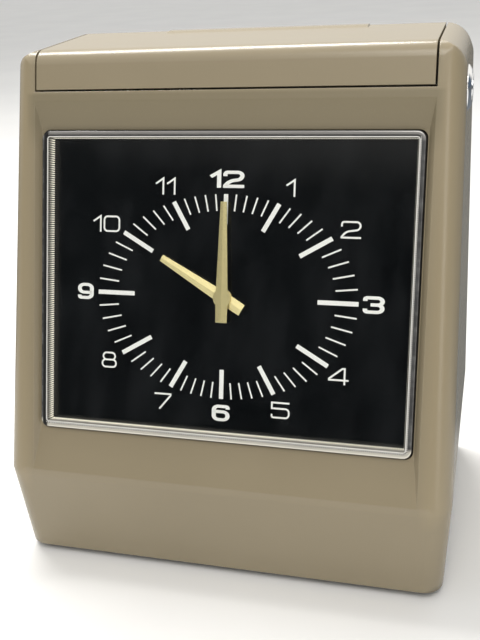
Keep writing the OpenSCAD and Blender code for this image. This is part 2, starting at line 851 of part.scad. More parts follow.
module dial() {
    color("#101214") on_face() translate([0, lens_up + lens_h / 2, -dial_rear]) difference() {
        linear_extrude(dial_t) round_rect(lens_w - 2, lens_h - 2, 2);
        translate([0, dial_up - lens_up - lens_h / 2, -1]) cylinder(h = 4, r = 4);
    }
}

// Spur gear: involute flanks, thinned for backlash, straight lands at tip and root
module spur(mod, teeth, h, bore) {
    pitch = mod * teeth / 2;
    base = pitch * cos(20);
    tip = pitch + 0.85 * mod;
    root = pitch - 1.15 * mod;
    low = max(base, root);
    function involute(r) = let (a = acos(min(1, base / r))) tan(a) * 180 / PI - a;
    function half_tooth(r) =
        90 / teeth - gear_play / (4 * pitch) * 180 / PI + involute(pitch) - involute(r);
    radii = [root, low, low + (tip - low) * 0.35, low + (tip - low) * 0.7, tip];
    function flank(c, side) = [for (r = radii) on_circle(r, c + side * half_tooth(max(r, low)))];
    function reversed(list) = [for (i = [len(list) - 1:-1:0]) list[i]];
    difference() {
        linear_extrude(h) polygon([
            for (i = [0:teeth - 1]) let (c = i * 360 / teeth)
                each concat(flank(c, -1), reversed(flank(c, 1)))
        ]);
        translate([0, 0, -1]) cylinder(h = h + 2, r = bore);
    }
}

// Where the minute wheel and the motor pinion turn, in the arbor's frame
module at_minute_wheel() {
    on_arbor() rotate([0, 0, minute_dir]) translate([minute_dist, 0, 0]) rotate([0, 0, -minute_dir]) children();
}

module at_clock_pinion() {
    on_arbor() rotate([0, 0, clock_dir]) translate([clock_dist, 0, 0]) rotate([0, 0, -clock_dir]) children();
}

// Outline of the movement's plates
module movement_outline() {
    translate([2, 0]) round_rect(64, 52, 5);
}

module movement_front_plate() {
    color(white_color) difference() {
        on_arbor() {
            translate([0, 0, -front_plate - plate_t]) linear_extrude(plate_t) movement_outline();
            for (x = [-26, 30], y = [-21, 21]) {
                translate([x, y, -front_plate]) cylinder(h = plate_gap, r = 3);
                translate([x, y, -rear_plate]) cylinder(h = plates_apart, r = 3);
            }
        }
        on_arbor() translate([0, 0, -front_plate - plate_t - 1]) cylinder(h = 6, r = pipe_r + run_gap);
        at_minute_wheel() translate([0, 0, -front_plate - plate_t - 1]) cylinder(h = 6, r = 1 + run_gap);
        at_clock_pinion() translate([0, 0, -front_plate - plate_t - 1]) cylinder(h = 6, r = 1 + run_gap);
    }
}

module movement_rear_plate() {
    color(white_color) difference() {
        on_arbor() translate([0, 0, -rear_plate - plate_t]) linear_extrude(plate_t) movement_outline();
        on_arbor() translate([0, 0, -rear_plate - plate_t - 1]) cylinder(h = 6, r = arbor_r + run_gap);
        at_minute_wheel() translate([0, 0, -rear_plate - plate_t - 1]) cylinder(h = 6, r = 1 + run_gap);
        at_clock_pinion() translate([0, 0, -rear_plate - plate_t - 1]) cylinder(h = 6, r = 1 + run_gap + 1);
    }
}

module clock_motor() {
    can = 10;
    at_clock_pinion() color(steel_color) {
        translate([0, 0, -rear_plate - plate_t - can]) difference() {
            union() {
                cylinder(h = can, r = 12);
                translate([0, 0, can - 1]) linear_extrude(1) round_rect(34, 10, 4.5);
            }
            translate([0, 0, can - 6]) cylinder(h = 8, r = 1 + run_gap);
        }
    }
}

module clock_pinion() {
    top = front_plate + plate_t;
    at_clock_pinion() color(brass_color) {
        translate([0, 0, -rear_plate - plate_t - 5]) cylinder(h = rear_plate + plate_t + 5 - top + 1.5, r = 1);
        translate([0, 0, -rear_plate + 1]) rotate([0, 0, clock_dir + 180 + 180 / pinion_teeth])
            spur(clock_mod, pinion_teeth, 3.5, 0.9);
    }
}

module centre_arbor() {
    on_arbor() color(brass_color) {
        translate([0, 0, -rear_plate - plate_t]) cylinder(h = rear_plate + plate_t - minute_level + arbor_in, r = arbor_r);
        translate([0, 0, -rear_plate + 2]) rotate([0, 0, clock_dir]) spur(clock_mod, clock_teeth, 1.5, arbor_r - 0.1);
        translate([0, 0, -rear_plate + 4.2]) rotate([0, 0, minute_dir]) spur(minute_mod, pinion_teeth, 2.6, arbor_r - 0.1);
    }
}

module minute_wheel() {
    at_minute_wheel() color(brass_color) {
        translate([0, 0, -rear_plate - plate_t]) cylinder(h = plates_apart + 2 * plate_t, r = 1);
        translate([0, 0, -rear_plate + 4.8]) rotate([0, 0, minute_dir + 180 + 180 / minute_teeth])
            spur(minute_mod, minute_teeth, 1.4, 0.9);
        translate([0, 0, -rear_plate + 6]) rotate([0, 0, minute_dir + 180])
            spur(hour_mod, pinion_teeth, plates_apart - 6.5, 0.9);
    }
}

module hour_wheel() {
    low = rear_plate - 7.6;
    on_arbor() color(brass_color) difference() {
        union() {
            translate([0, 0, -low]) rotate([0, 0, minute_dir + 180 / hour_teeth])
                spur(hour_mod, hour_teeth, 1.6, 1);
            translate([0, 0, -low]) cylinder(h = 2.4, r = 5);
            translate([0, 0, -low]) cylinder(h = low - hour_level + 0.6, r = pipe_r);
        }
        translate([0, 0, -low - 1]) cylinder(h = low + 2, r = arbor_r + run_gap);
    }
}

// One hand pointing up its own Y: a blade, a tail and a hub under two facets that meet in a ridge
module hand(len, tail, tip_w, hub_w, tail_w) {
    slope = 0.2;
    far = 3 * hub_r;
    difference() {
        linear_extrude(hand_t) union() {
            polygon([[-hub_w / 2, 0], [hub_w / 2, 0], [tip_w / 2, len], [-tip_w / 2, len]]);
            polygon([[-hub_w / 2, 0], [hub_w / 2, 0], [tail_w / 2, -tail], [-tail_w / 2, -tail]]);
            circle(hub_r);
        }
        for (side = [0, 1]) mirror([side, 0, 0]) rotate([90, 0, 0])
            linear_extrude(3 * len, center = true)
            polygon([[0, hand_t], [far, hand_t - far * slope], [far, hand_t + 1], [0, hand_t + 1]]);
    }
}

module minute_hand() {
    on_arbor() translate([0, 0, -minute_level]) color("#d8c98a") difference() {
        union() {
            hand(minute_len, 11, 2.7, 5.6, 5.2);
            translate([0, 0, -0.3]) cylinder(h = 0.4, r = hub_r - 1);
        }
        translate([0, 0, -1]) cylinder(h = 1 + arbor_in, r = arbor_r);
    }
}

module hour_hand() {
    on_arbor() translate([0, 0, -hour_level]) rotate([0, 0, 60]) color("#cdbd7c") difference() {
        union() {
            hand(hour_len, 10.3, 3.1, 5.8, 5.4);
            translate([0, 0, -0.5]) cylinder(h = 0.6, r = hub_r - 0.1);
        }
        translate([0, 0, -1]) cylinder(h = 3, r = pipe_r);
    }
}

module card_throat() {
    half = notch_w / 2 - 1;
    front = chute_front - guide_t + 0.5;
    color(dark_color) difference() {
        union() {
            box([-half, front, frame_top], [half, base_rear, throat_top]);
            for (side = [0, 1]) mirror([side, 0, 0]) {
                bar_x(lid_ear_x, lid_ear_x + lid_ear_w, lid_pin_y, lid_pin_z, lid_ear_r);
                // low web that leaves room for the cover's rear edge when it lifts
                across_from(lid_ear_x, lid_ear_x + lid_ear_w) polygon([
                    [lid_pin_y - 0.7 * lid_ear_r, lid_pin_z - 0.7 * lid_ear_r],
                    [lid_pin_y + 0.7 * lid_ear_r, lid_pin_z - 0.7 * lid_ear_r],
                    [front + 0.6, throat_top], [front + 4, throat_top], [front + 4, frame_top],
                    [lid_pin_y - 0.7 * lid_ear_r, frame_top]
                ]);
            }
        }
        // slot that narrows down into the chute
        across_from(card_x - chute_w / 2, card_x + chute_w / 2) polygon([
            [chute_front, throat_top - 5], [chute_rear, throat_top - 5], [chute_rear, throat_top - funnel],
            [chute_rear + funnel + 1, throat_top + 1], [chute_front - funnel - 1, throat_top + 1],
            [chute_front, throat_top - funnel]
        ]);
        for (side = [0, 1]) mirror([side, 0, 0])
            bar_x(lid_ear_x - 1, lid_ear_x + lid_ear_w + 1, lid_pin_y, lid_pin_z, lid_pin_r);
    }
}

module card_guide_front() {
    y0 = chute_front - guide_t;
    color(dark_color) difference() {
        box([card_x - guide_w / 2, y0, stop_h], [card_x + guide_w / 2, chute_front, frame_top]);
        // print window
        box([head_home - 7, y0 - 1, print_h - 8.5], [head_home + head_travel + 7, chute_front + 1, print_h + 8.5]);
        roller_windows(y0, feed_r);
    }
}

// Windows in a guide wall for two rollers
module roller_windows(y0, r) {
    for (x = [-roller_x, roller_x])
        box([card_x + x - roller_w / 2 - 1, y0 - 1, feed_h - r - 0.6],
            [card_x + x + roller_w / 2 + 1, y0 + guide_t + 1, feed_h + r + 0.6]);
}

module card_guide_rear() {
    color(dark_color) difference() {
        union() {
            box([card_x - guide_w / 2, chute_rear, stop_h - 4], [card_x + guide_w / 2, chute_rear + guide_t, frame_top]);
            // side walls and floor of the chute
            for (x = [card_x - guide_w / 2, card_x + guide_w / 2 - guide_t])
                box([x, chute_front, stop_h], [x + guide_t, chute_rear + 0.5, frame_top]);
            box([card_x - guide_w / 2, chute_front - guide_t, stop_h - 4],
                [card_x + guide_w / 2, chute_rear + guide_t, stop_h]);
            // wings that reach the side frames
            for (z = [crease_h + 11.5, frame_top - 39.3]) {
                box([-sheet_in, chute_rear, z], [sheet_in, chute_rear + guide_t, z + 16]);
                for (side = [0, 1]) mirror([side, 0, 0])
                    box([sheet_in - 2, chute_rear, z], [sheet_in, chute_rear + 7, z + 16]);
            }
            // bearing ears for the pinch shaft
            for (x = pinch_ears()) {
                box([x, chute_rear + 0.5, feed_h - 5], [x + 3, pinch_y, feed_h + 5]);
                bar_x(x, x + 3, pinch_y, feed_h, 5);
            }
        }
        platen_window(0.2);
        roller_windows(chute_rear, pinch_r);
        bar_x(card_x - 60, card_x + 60, pinch_y, feed_h, 2 + run_gap);
    }
}

function pinch_ears() = [card_x - roller_x - roller_w / 2 - 6, card_x + roller_x + roller_w / 2 + 3];

// Window for the platen in the rear guide, grown by g
module platen_window(g) {
    box([head_home - 6 - g, chute_rear - 1, print_h - 7 - g],
        [head_home + head_travel + 6 + g, chute_rear + guide_t + 1, print_h + 7 + g]);
}

module platen() {
    color(dark_color) union() {
        box([head_home - 6, chute_rear + 0.2, print_h - 7],
            [head_home + head_travel + 6, chute_rear + guide_t + 1, print_h + 7]);
        box([head_home - 9, chute_rear + guide_t, print_h - 10],
            [head_home + head_travel + 9, chute_rear + guide_t + 3, print_h + 10]);
    }
}

module guide_rod() {
    color(steel_color) bar_x(-sheet_in - sheet, sheet_in + sheet, rod_y, rod_z, rod_r);
}

module lead_screw() {
    journal = screw_r - 0.5;
    color(steel_color) union() {
        bar_x(-sheet_in + 0.4, sheet_in - 0.4, screw_y, rod_z, screw_r);
        bar_x(-sheet_in - sheet - gear_t - 0.8, sheet_in + sheet + 0.6, screw_y, rod_z, journal);
    }
}

// A drive gear on its shaft's end, outside the frame at x, meshing towards drive_dir
module drive_gear(x, y, z, bore) {
    translate([x, y, z]) rotate([90, 0, 90]) rotate([0, 0, drive_dir])
        spur(drive_mod, drive_teeth, gear_t, bore);
}

// A motor pinion in mesh with the drive gear at y and z, with its shaft from x0 to x1
module drive_pinion(x, y, z, x0, x1) {
    py = y + drive_dist * cos(drive_dir);
    pz = z + drive_dist * sin(drive_dir);
    translate([x, py, pz]) rotate([90, 0, 90]) rotate([0, 0, drive_dir + 180 + 180 / motor_teeth])
        spur(drive_mod, motor_teeth, gear_t, 0.9);
    bar_x(x0, x1, py, pz, 1);
}

// A motor can against the inside of a frame, in mesh position
module drive_motor(side, y, z) {
    py = y + drive_dist * cos(drive_dir);
    pz = z + drive_dist * sin(drive_dir);
    x_in = side * sheet_in;
    x_can = side > 0 ? x_in - motor_len : x_in;
    difference() {
        union() {
            bar_x(min(x_can, x_can + motor_len), max(x_can, x_can + motor_len), py, pz, motor_r);
            translate([side > 0 ? x_in - 1 : x_in, py, pz]) rotate([90, 0, 90])
                linear_extrude(1) round_rect(2 * motor_r + 12, 10, 4.5);
        }
        bar_x(x_in - 8, x_in + 8, py, pz, 1 + run_gap);
    }
}

module screw_gear() {
    color(white_color) drive_gear(-sheet_in - sheet - 0.5 - gear_t, screw_y, rod_z, screw_r - 0.5);
}

module head_pinion() {
    color(brass_color) drive_pinion(-sheet_in - sheet - 0.5 - gear_t, screw_y, rod_z, -sheet_in - sheet - 0.5 - gear_t, -sheet_in + 6);
}

module head_motor() {
    color(steel_color) drive_motor(-1, screw_y, rod_z);
}

module feed_gear() {
    color(white_color) drive_gear(sheet_in + sheet + 0.5, feed_y, feed_h, feed_shaft_r);
}

module feed_pinion() {
    color(brass_color) drive_pinion(sheet_in + sheet + 0.5, feed_y, feed_h, sheet_in - 6, sheet_in + sheet + 0.5 + gear_t);
}

module feed_motor() {
    color(steel_color) drive_motor(1, feed_y, feed_h);
}

module feed_shaft() {
    color(steel_color) bar_x(-sheet_in - sheet - 0.6, sheet_in + sheet + 0.5 + gear_t, feed_y, feed_h, feed_shaft_r);
}

module feed_rollers() {
    color(dark_color) for (x = [-roller_x, roller_x]) difference() {
        bar_x(card_x + x - roller_w / 2, card_x + x + roller_w / 2, feed_y, feed_h, feed_r);
        bar_x(card_x + x - roller_w, card_x + x + roller_w, feed_y, feed_h, feed_shaft_r);
    }
}

module pinch_shaft() {
    color(steel_color) bar_x(pinch_ears()[0] - 2, pinch_ears()[1] + 5, pinch_y, feed_h, 2);
}

module pinch_rollers() {
    color(dark_color) for (x = [-roller_x, roller_x]) difference() {
        bar_x(card_x + x - roller_w / 2, card_x + x + roller_w / 2, pinch_y, feed_h, pinch_r);
        bar_x(card_x + x - roller_w, card_x + x + roller_w, pinch_y, feed_h, 2);
    }
}

module print_carriage() {
    half = 14;
    top = print_h - 9;
    color(dark_color) difference() {
        union() {
            box([head_home - half, screw_y - 6, rod_z - 6], [head_home + half, rod_y + 6, rod_z + 6]);
            box([head_home - half + 2, screw_y, rod_z + 5], [head_home + half - 2, rod_y + 10, top]);
        }
        bar_x(head_home - 20, head_home + 20, rod_y, rod_z, rod_r + 0.06);
        bar_x(head_home - 20, head_home + 20, screw_y, rod_z, screw_r + 0.1);
        box([head_home - 8, screw_y + 5, rod_z - 7], [head_home + 8, rod_y - 5, rod_z + 4]);
    }
}

module print_head() {
    nose_y = ribbon_y - ribbon_t - 0.35;
    low = print_h - 9;
    color("#3b3e42") union() {
        // finned body
        box([head_home - 10, nose_y - 14, low], [head_home + 10, nose_y - 3, low + 18]);
        for (i = [0:3])
            box([head_home - 11.5, nose_y - 25 + i * 3, low], [head_home + 11.5, nose_y - 23.4 + i * 3, low + 17]);
        box([head_home - 9, nose_y - 25, low], [head_home + 9, nose_y - 12, low + 16]);
        box([head_home - 4, nose_y - 3.5, low + 3], [head_home + 4, nose_y, low + 15]);
    }
}

module ribbon_spool(x, wound_r) {
    z0 = print_h - 8.2;
    color("#33363a") translate([x, spool_y, 0]) difference() {
        union() {
            translate([0, 0, z0]) cylinder(h = 1, r = spool_r);
            translate([0, 0, z0 + 15]) cylinder(h = 1, r = spool_r);
            translate([0, 0, z0]) cylinder(h = 16, r = wound_r);
        }
        translate([0, 0, z0 - 1]) cylinder(h = 20, r = 2 + 0.06);
    }
}

module ribbon_spool_left() {
    ribbon_spool(spool_left_x, 9);
}

module ribbon_spool_right() {
    ribbon_spool(spool_right_x, 11);
}

module ribbon_cassette() {
    t = 1.6;
    low = print_h - 10.3;
    post_y = ribbon_y - ribbon_t - 0.25 - ribbon_post_r;
    color("#55595e") union() {
        difference() {
            translate([0, 0, cover_z]) linear_extrude(t) union() {
                translate([card_x, spool_y - 4]) square([2 * spool_x, 26], center = true);
                for (x = [spool_left_x, spool_right_x]) translate([x, spool_y]) circle(spool_r + 2.4);
                translate([-sheet_in, spool_y - 6]) square([2 * sheet_in, 12]);
            }
        }
        for (side = [0, 1]) translate([card_x, 0, 0]) mirror([side, 0, 0]) {
            // floor, outer wall, axle and guide post of one spool
            translate([spool_x, spool_y, low]) cylinder(h = t, r = spool_r + 1.5);
            translate([spool_x, spool_y, low]) linear_extrude(cover_z - low + 0.5) difference() {
                circle(spool_r + 2.4);
                circle(spool_r + 0.8);
                translate([-40, -20]) square([40, 60]);
                translate([-10, 0]) square([30, 40]);
            }
            translate([spool_x, spool_y, low]) cylinder(h = cover_z - low + 0.5, r = 2);
            translate([ribbon_post_x, post_y, print_h - 8])
                cylinder(h = cover_z - print_h + 8 + t, r = ribbon_post_r);
            translate([ribbon_post_x - ribbon_post_r, spool_y, cover_z])
                cube([2 * ribbon_post_r, post_y - spool_y, t]);
        }
    }
}

module ink_ribbon() {
    back = [0, ribbon_t];
    lead = [ribbon_post_x + 0.8, ribbon_y - ribbon_t];
    off = [spool_x - 4, spool_y + 11.6];
    color("#1d1d22") translate([card_x, 0, print_h - ribbon_h / 2]) linear_extrude(ribbon_h) polygon([
        [-off[0], off[1]], [-lead[0], lead[1]], lead, off,
        off + back, lead + back, [-lead[0], lead[1]] + back, [-off[0], off[1]] + back
    ]);
}

module main_board() {
    color("#2f6b45") union() {
        box([board_x0, board_y0, board_z], [board_x1, board_y1, board_z + board_t]);
        for (x = [board_x0 + 4, board_x1 - 4], y = [board_y0 + 4, board_y1 - 4])
            translate([x, y, base_top]) cylinder(h = board_z + board_t + 1 - base_top, r = 3);
    }
}

module board_parts() {
    translate([(board_x0 + board_x1) / 2, (board_y0 + board_y1) / 2, board_z + board_t])
        color(dark_color) union() {
            box([-26, -9, 0], [0, 3, 3]);
            box([10, -19, 0], [20, 11, 4]);
            for (i = [0:3]) translate([-36 + i * 14, 27, 0]) cylinder(h = 16 - 2 * i, r = 5);
            box([24, 21, 0], [42, 31, 10]);
            translate([32, -29, 0]) cylinder(h = 9, r = 8);
        }
}

module transformer() {
    translate([trans_x, trans_y, base_top]) color("#7a6a52") difference() {
        union() {
            box([0, -24, 0], [50, 24, 1.5]);
            box([2, -16, 1], [48, 16, 39]);
            box([10, -22, 5], [40, 22, 35]);
        }
        for (y = [-20, 20]) translate([5, y, -1]) cylinder(h = 4, r = 1.8);
    }
}

module power_inlet() {
    color(dark_color) translate([inlet_x, 0, inlet_z]) difference() {
        union() {
            translate([0, back_y - 1.5, 0]) rotate([90, 0, 0]) linear_extrude(2) round_rect(29, 22, 3);
            translate([0, back_y, 0]) rotate([90, 0, 0]) linear_extrude(18) round_rect(23.6, 16.6, 2);
            for (z = [-3, 3]) box([-3, back_y - 22, z - 0.4], [3, back_y - 17, z + 0.4]);
        }
        translate([0, back_y + 1, 0]) rotate([90, 0, 0]) linear_extrude(15) round_rect(19, 12, 4);
    }
}

module battery_pack() {
    color("#d9c34a") across_from(trans_x - 8, trans_x + 42) translate([battery_y, base_top + cell_r]) union() {
        square([2 * cell_r, 2 * cell_r], center = true);
        for (side = [-1, 1]) translate([side * cell_r, 0]) circle(cell_r);
    }
}

module control_panel() {
    panel_t = 1.6;
    pillar_h = 10.4;
    color(dark_color) difference() {
        union() {
            box([panel_x0, panel_y0, panel_z], [panel_x0 + 79, panel_y0 + 38, panel_z + panel_t]);
            box([panel_x0, frame_step_y, panel_z - 18], [panel_x0 + panel_t, panel_y0 + 38, panel_z + 0.5]);
            // pillars down to the switch board
            for (x = [11, 63], y = [4.5, 23.5])
                translate([panel_x0 + x, panel_y0 + y, panel_z - pillar_h]) cylinder(h = pillar_h + 0.6, r = 2);
        }
        for (x = button_xs) translate([x, button_y, panel_z - 1]) cylinder(h = 4, r = 2.9);
    }
}

module switch_board() {
    color("#2f6b45") union() {
        box([panel_x0 + 7, panel_y0 + 1, panel_z - 12], [panel_x0 + 67, panel_y0 + 27, panel_z - 10.4]);
        for (x = button_xs) translate([x - 3, button_y - 3, panel_z - 11]) cube([6, 6, 4.6]);
    }
}

module set_key(i) {
    color(white_color) translate([button_xs[i], button_y, panel_z]) union() {
        translate([0, 0, 1.6 + button_travel + 0.4]) cylinder(h = 3.4, r = 4.5);
        translate([0, 0, -6.4 + button_travel + 0.4]) cylinder(h = 8.4, r = 2.6);
        translate([0, 0, -1.3]) cylinder(h = 1, r = 3.3);
    }
}

module mode_button() {
    set_key(0);
}

module change_button() {
    set_key(1);
}

module set_button() {
    set_key(2);
}

front_case();
window_lens();
lock_barrel();
lock_nut();
lock_plug();
lock_cam();
lock_keeper();
top_cover();
base_plate();
back_plate();
side_frame_left();
side_frame_right();
feet();
hinge_pins();
dial_bracket();
dial();
movement_front_plate();
movement_rear_plate();
clock_motor();
clock_pinion();
centre_arbor();
minute_wheel();
hour_wheel();
minute_hand();
hour_hand();
card_throat();
card_guide_front();
card_guide_rear();
platen();
guide_rod();
lead_screw();
screw_gear();
print_carriage();
print_head();
head_motor();
head_pinion();
feed_shaft();
feed_rollers();
feed_gear();
feed_motor();
feed_pinion();
pinch_shaft();
pinch_rollers();
ribbon_cassette();
ribbon_spool_left();
ribbon_spool_right();
ink_ribbon();
main_board();
board_parts();
transformer();
power_inlet();
battery_pack();
control_panel();
switch_board();
mode_button();
change_button();
set_button();
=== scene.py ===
"""Looks of the time clock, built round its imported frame. +Z is up.

Lengths are metres. Places taken from the solids are written in millimetres and scaled by MM.
"""

import json
import math

import bmesh
import bpy
from mathutils import Matrix, Vector


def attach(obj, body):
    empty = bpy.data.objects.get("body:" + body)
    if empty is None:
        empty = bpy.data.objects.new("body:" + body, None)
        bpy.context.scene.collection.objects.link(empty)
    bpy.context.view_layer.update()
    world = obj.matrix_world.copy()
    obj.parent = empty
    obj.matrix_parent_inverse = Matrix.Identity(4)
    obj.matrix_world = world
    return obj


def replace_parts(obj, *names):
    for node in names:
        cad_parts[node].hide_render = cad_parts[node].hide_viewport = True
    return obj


MM = 0.001
# the front face leans back by LEAN from its crease, which lies at FACE_Y and FACE_Z
LEAN = math.radians(17.7)
FACE_Y, FACE_Z = -69.5, 48.5
# the hands' axis is DIAL_S up the face, and the dial's front lies at the level DIAL_N
DIAL_S, DIAL_N = 86.696, -7.6

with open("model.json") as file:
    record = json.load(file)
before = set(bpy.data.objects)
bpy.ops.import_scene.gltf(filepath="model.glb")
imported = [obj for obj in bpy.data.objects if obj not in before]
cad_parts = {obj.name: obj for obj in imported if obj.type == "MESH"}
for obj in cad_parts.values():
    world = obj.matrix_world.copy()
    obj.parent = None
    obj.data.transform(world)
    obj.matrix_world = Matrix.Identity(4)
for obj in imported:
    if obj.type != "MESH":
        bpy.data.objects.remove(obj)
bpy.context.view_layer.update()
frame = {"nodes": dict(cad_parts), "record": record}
nodes = frame["nodes"]
scene = bpy.context.scene


# ---------------------------------------------------------------- camera

CAMERA_AT = (0.1137, -0.3929, 0.2769)
CAMERA_FORWARD = (-0.26340, 0.88165, -0.39156)
CAMERA_RIGHT = (0.96318, 0.26303, -0.05567)
CAMERA_LENS, CAMERA_SENSOR = 50.68, 36


def place_camera():
    """The photograph's view, as fitted to the case's corners and the window's edges."""
    forward = Vector(CAMERA_FORWARD).normalized()
    right = Vector(CAMERA_RIGHT).normalized()
    up = right.cross(forward).normalized()
    data = bpy.data.cameras.new("camera")
    data.lens = CAMERA_LENS
    data.sensor_width = CAMERA_SENSOR
    data.sensor_fit = "AUTO"
    data.clip_start = 0.01
    data.clip_end = 50
    camera = bpy.data.objects.new("camera", data)
    turn = Matrix((right, up, -forward)).transposed().to_4x4()
    camera.matrix_world = Matrix.Translation(CAMERA_AT) @ turn
    scene.collection.objects.link(camera)
    scene.camera = camera


place_camera()
scene.view_settings.view_transform = "Standard"


# ---------------------------------------------------------------- node helpers

class Nodes:
    """A node tree, with short calls for the nodes used here."""

    def __init__(self, tree):
        self.tree = tree
        tree.nodes.clear()

    def add(self, kind, inputs=None, **settings):
        n = self.tree.nodes.new(kind)
        for key, value in settings.items():
            setattr(n, key, value)
        for key, value in (inputs or {}).items():
            self.put(n.inputs[key], value)
        return n

    def put(self, socket, value):
        """Link a socket's value, or set a plain one."""
        if isinstance(value, bpy.types.NodeSocket):
            self.tree.links.new(value, socket)
        else:
            socket.default_value = value

    def remap(self, value, low, high, start=0.0, end=1.0):
        n = self.add("ShaderNodeMapRange", {
            "Value": value, "From Min": low, "From Max": high, "To Min": start, "To Max": end})
        return n.outputs["Result"]

    def math(self, operation, a, b=0.0):
        n = self.add("ShaderNodeMath", operation=operation)
        self.put(n.inputs[0], a)
        self.put(n.inputs[1], b)
        return n.outputs[0]

    def product(self, first, *others):
        for value in others:
            first = self.math("MULTIPLY", first, value)
        return first

    def blend(self, factor, a, b):
        n = self.add("ShaderNodeMix", data_type="RGBA")
        self.put(n.inputs["Factor"], factor)
        self.put(n.inputs["A"], a)
        self.put(n.inputs["B"], b)
        return next(s for s in n.outputs if s.type == "RGBA")


class Shader(Nodes):
    """A material and its nodes; place is the point on the piece, in metres."""

    def __init__(self, name):
        self.material = bpy.data.materials.new(name)
        self.material.use_nodes = True
        super().__init__(self.material.node_tree)
        self.out = self.add("ShaderNodeOutputMaterial")
        self.place = self.add("ShaderNodeTexCoord").outputs["Object"]

    def axes(self):
        split = self.add("ShaderNodeSeparateXYZ", {"Vector": self.place})
        return [split.outputs[axis] for axis in "XYZ"]

    def stretch(self, x, y, z):
        n = self.add("ShaderNodeMapping", {"Vector": self.place, "Scale": (x, y, z)})
        return n.outputs["Vector"]

    def noise(self, scale, detail=2.0, rough=0.5, at=None):
        n = self.add("ShaderNodeTexNoise", {
            "Vector": at or self.place, "Scale": scale, "Detail": detail, "Roughness": rough})
        return n.outputs["Fac"]

    def cells(self, scale):
        n = self.add("ShaderNodeTexVoronoi", {"Vector": self.place, "Scale": scale})
        return n.outputs["Distance"]

    def bands(self, scale, axis="X", profile="SIN", distortion=0.0):
        n = self.add("ShaderNodeTexWave", {
            "Vector": self.place, "Scale": scale, "Distortion": distortion},
            wave_type="BANDS", wave_profile=profile, bands_direction=axis)
        return n.outputs["Fac"]

    def relief(self, height, depth, strength=1.0, normal=None):
        inputs = {"Height": height, "Distance": depth, "Strength": strength}
        if normal is not None:
            inputs["Normal"] = normal
        return self.add("ShaderNodeBump", inputs).outputs["Normal"]

    def soft_edge(self, radius, samples=4):
        return self.add("ShaderNodeBevel", {"Radius": radius}, samples=samples).outputs["Normal"]

    def edge_mask(self, radius):
        """1 near sharp edges, 0 on flats."""
        dot = self.add("ShaderNodeVectorMath", operation="DOT_PRODUCT")
        self.put(dot.inputs[0], self.soft_edge(radius))
        self.put(dot.inputs[1], self.add("ShaderNodeNewGeometry").outputs["True Normal"])
        return self.remap(dot.outputs["Value"], 0.995, 0.86)

    def principled(self, color, rough, metal=0.0, normal=None, **more):
        inputs = {"Base Color": color, "Roughness": rough, "Metallic": metal}
        if normal is not None:
            inputs["Normal"] = normal
        for key, value in more.items():
            inputs[key.replace("_", " ")] = value
        return self.add("ShaderNodeBsdfPrincipled", inputs).outputs["BSDF"]

    def finish(self, shader):
        self.put(self.out.inputs["Surface"], shader)
        return self.material


def toned(color, gain, lift=0.0):
    """A colour made paler or darker."""
    return [min(1.0, c * gain + lift) for c in color[:3]] + [1.0]


# ---------------------------------------------------------------- materials of the case

def along_face(s, to_y, to_z):
    """Distance from the face's crease in a direction of the YZ plane, in metres."""
    dot = s.add("ShaderNodeVectorMath", operation="DOT_PRODUCT")
    s.put(dot.inputs[0], s.place)
    s.put(dot.inputs[1], (0.0, to_y, to_z))
    return s.math("SUBTRACT", dot.outputs["Value"], (FACE_Y * to_y + FACE_Z * to_z) * MM)


def face_level(s):
    """Height over the sloping face."""
    return along_face(s, -math.cos(LEAN), math.sin(LEAN))


def face_rise(s):
    """Way up the sloping face."""
    return along_face(s, math.sin(LEAN), math.cos(LEAN))


def case_plastic():
    """Beige moulded case: satin, with rolled corners and slightly paler edges."""
    s = Shader("case_plastic")
    across = s.math("ABSOLUTE", s.axes()[0])
    rise, level = face_rise(s), face_level(s)
    slow = s.remap(s.noise(14, 3), 0.05, 0.95)
    tint = s.blend(slow, (0.246, 0.206, 0.1345, 1), (0.280, 0.234, 0.1545, 1))
    # painted shade: duller and darker between the window's head and the cover's seam
    over = s.product(s.remap(rise, 0.150, 0.164), s.remap(rise, 0.1766, 0.1752),
                     s.remap(across, 0.0945, 0.0925), s.remap(level, -0.0035, -0.0030))
    tint = s.blend(s.product(over, 0.9), tint, (0.205, 0.174, 0.112, 1))
    # painted light: warmer and paler along both side strips of the face
    strip = s.product(s.remap(across, 0.090, 0.0945), s.remap(level, -0.004, -0.001))
    tint = s.blend(s.product(strip, 0.75), tint, (0.305, 0.252, 0.160, 1))
    specks = s.remap(s.noise(900, 2), 0.62, 0.8, 0.0, 0.05)
    tint = s.blend(specks, tint, (0.40, 0.34, 0.23, 1))
    tint = s.blend(s.product(s.edge_mask(0.0009), 0.10), tint, (0.50, 0.43, 0.30, 1))
    # roughness stays under 0.27: denoised renders draw a faint line where it passes 0.274
    shine = s.remap(s.noise(26, 2), 0.3, 0.7, 0.246, 0.268)
    # the outer corners roll ten times as wide as the other edges
    soft = s.soft_edge(s.remap(across, 0.0935, 0.097, 0.0006, 0.006), 8)
    normal = s.relief(s.noise(2400, 2), 0.000012, 0.4, soft)
    return s.finish(s.principled(tint, shine, 0.0, normal, Specular_IOR_Level=0.5))


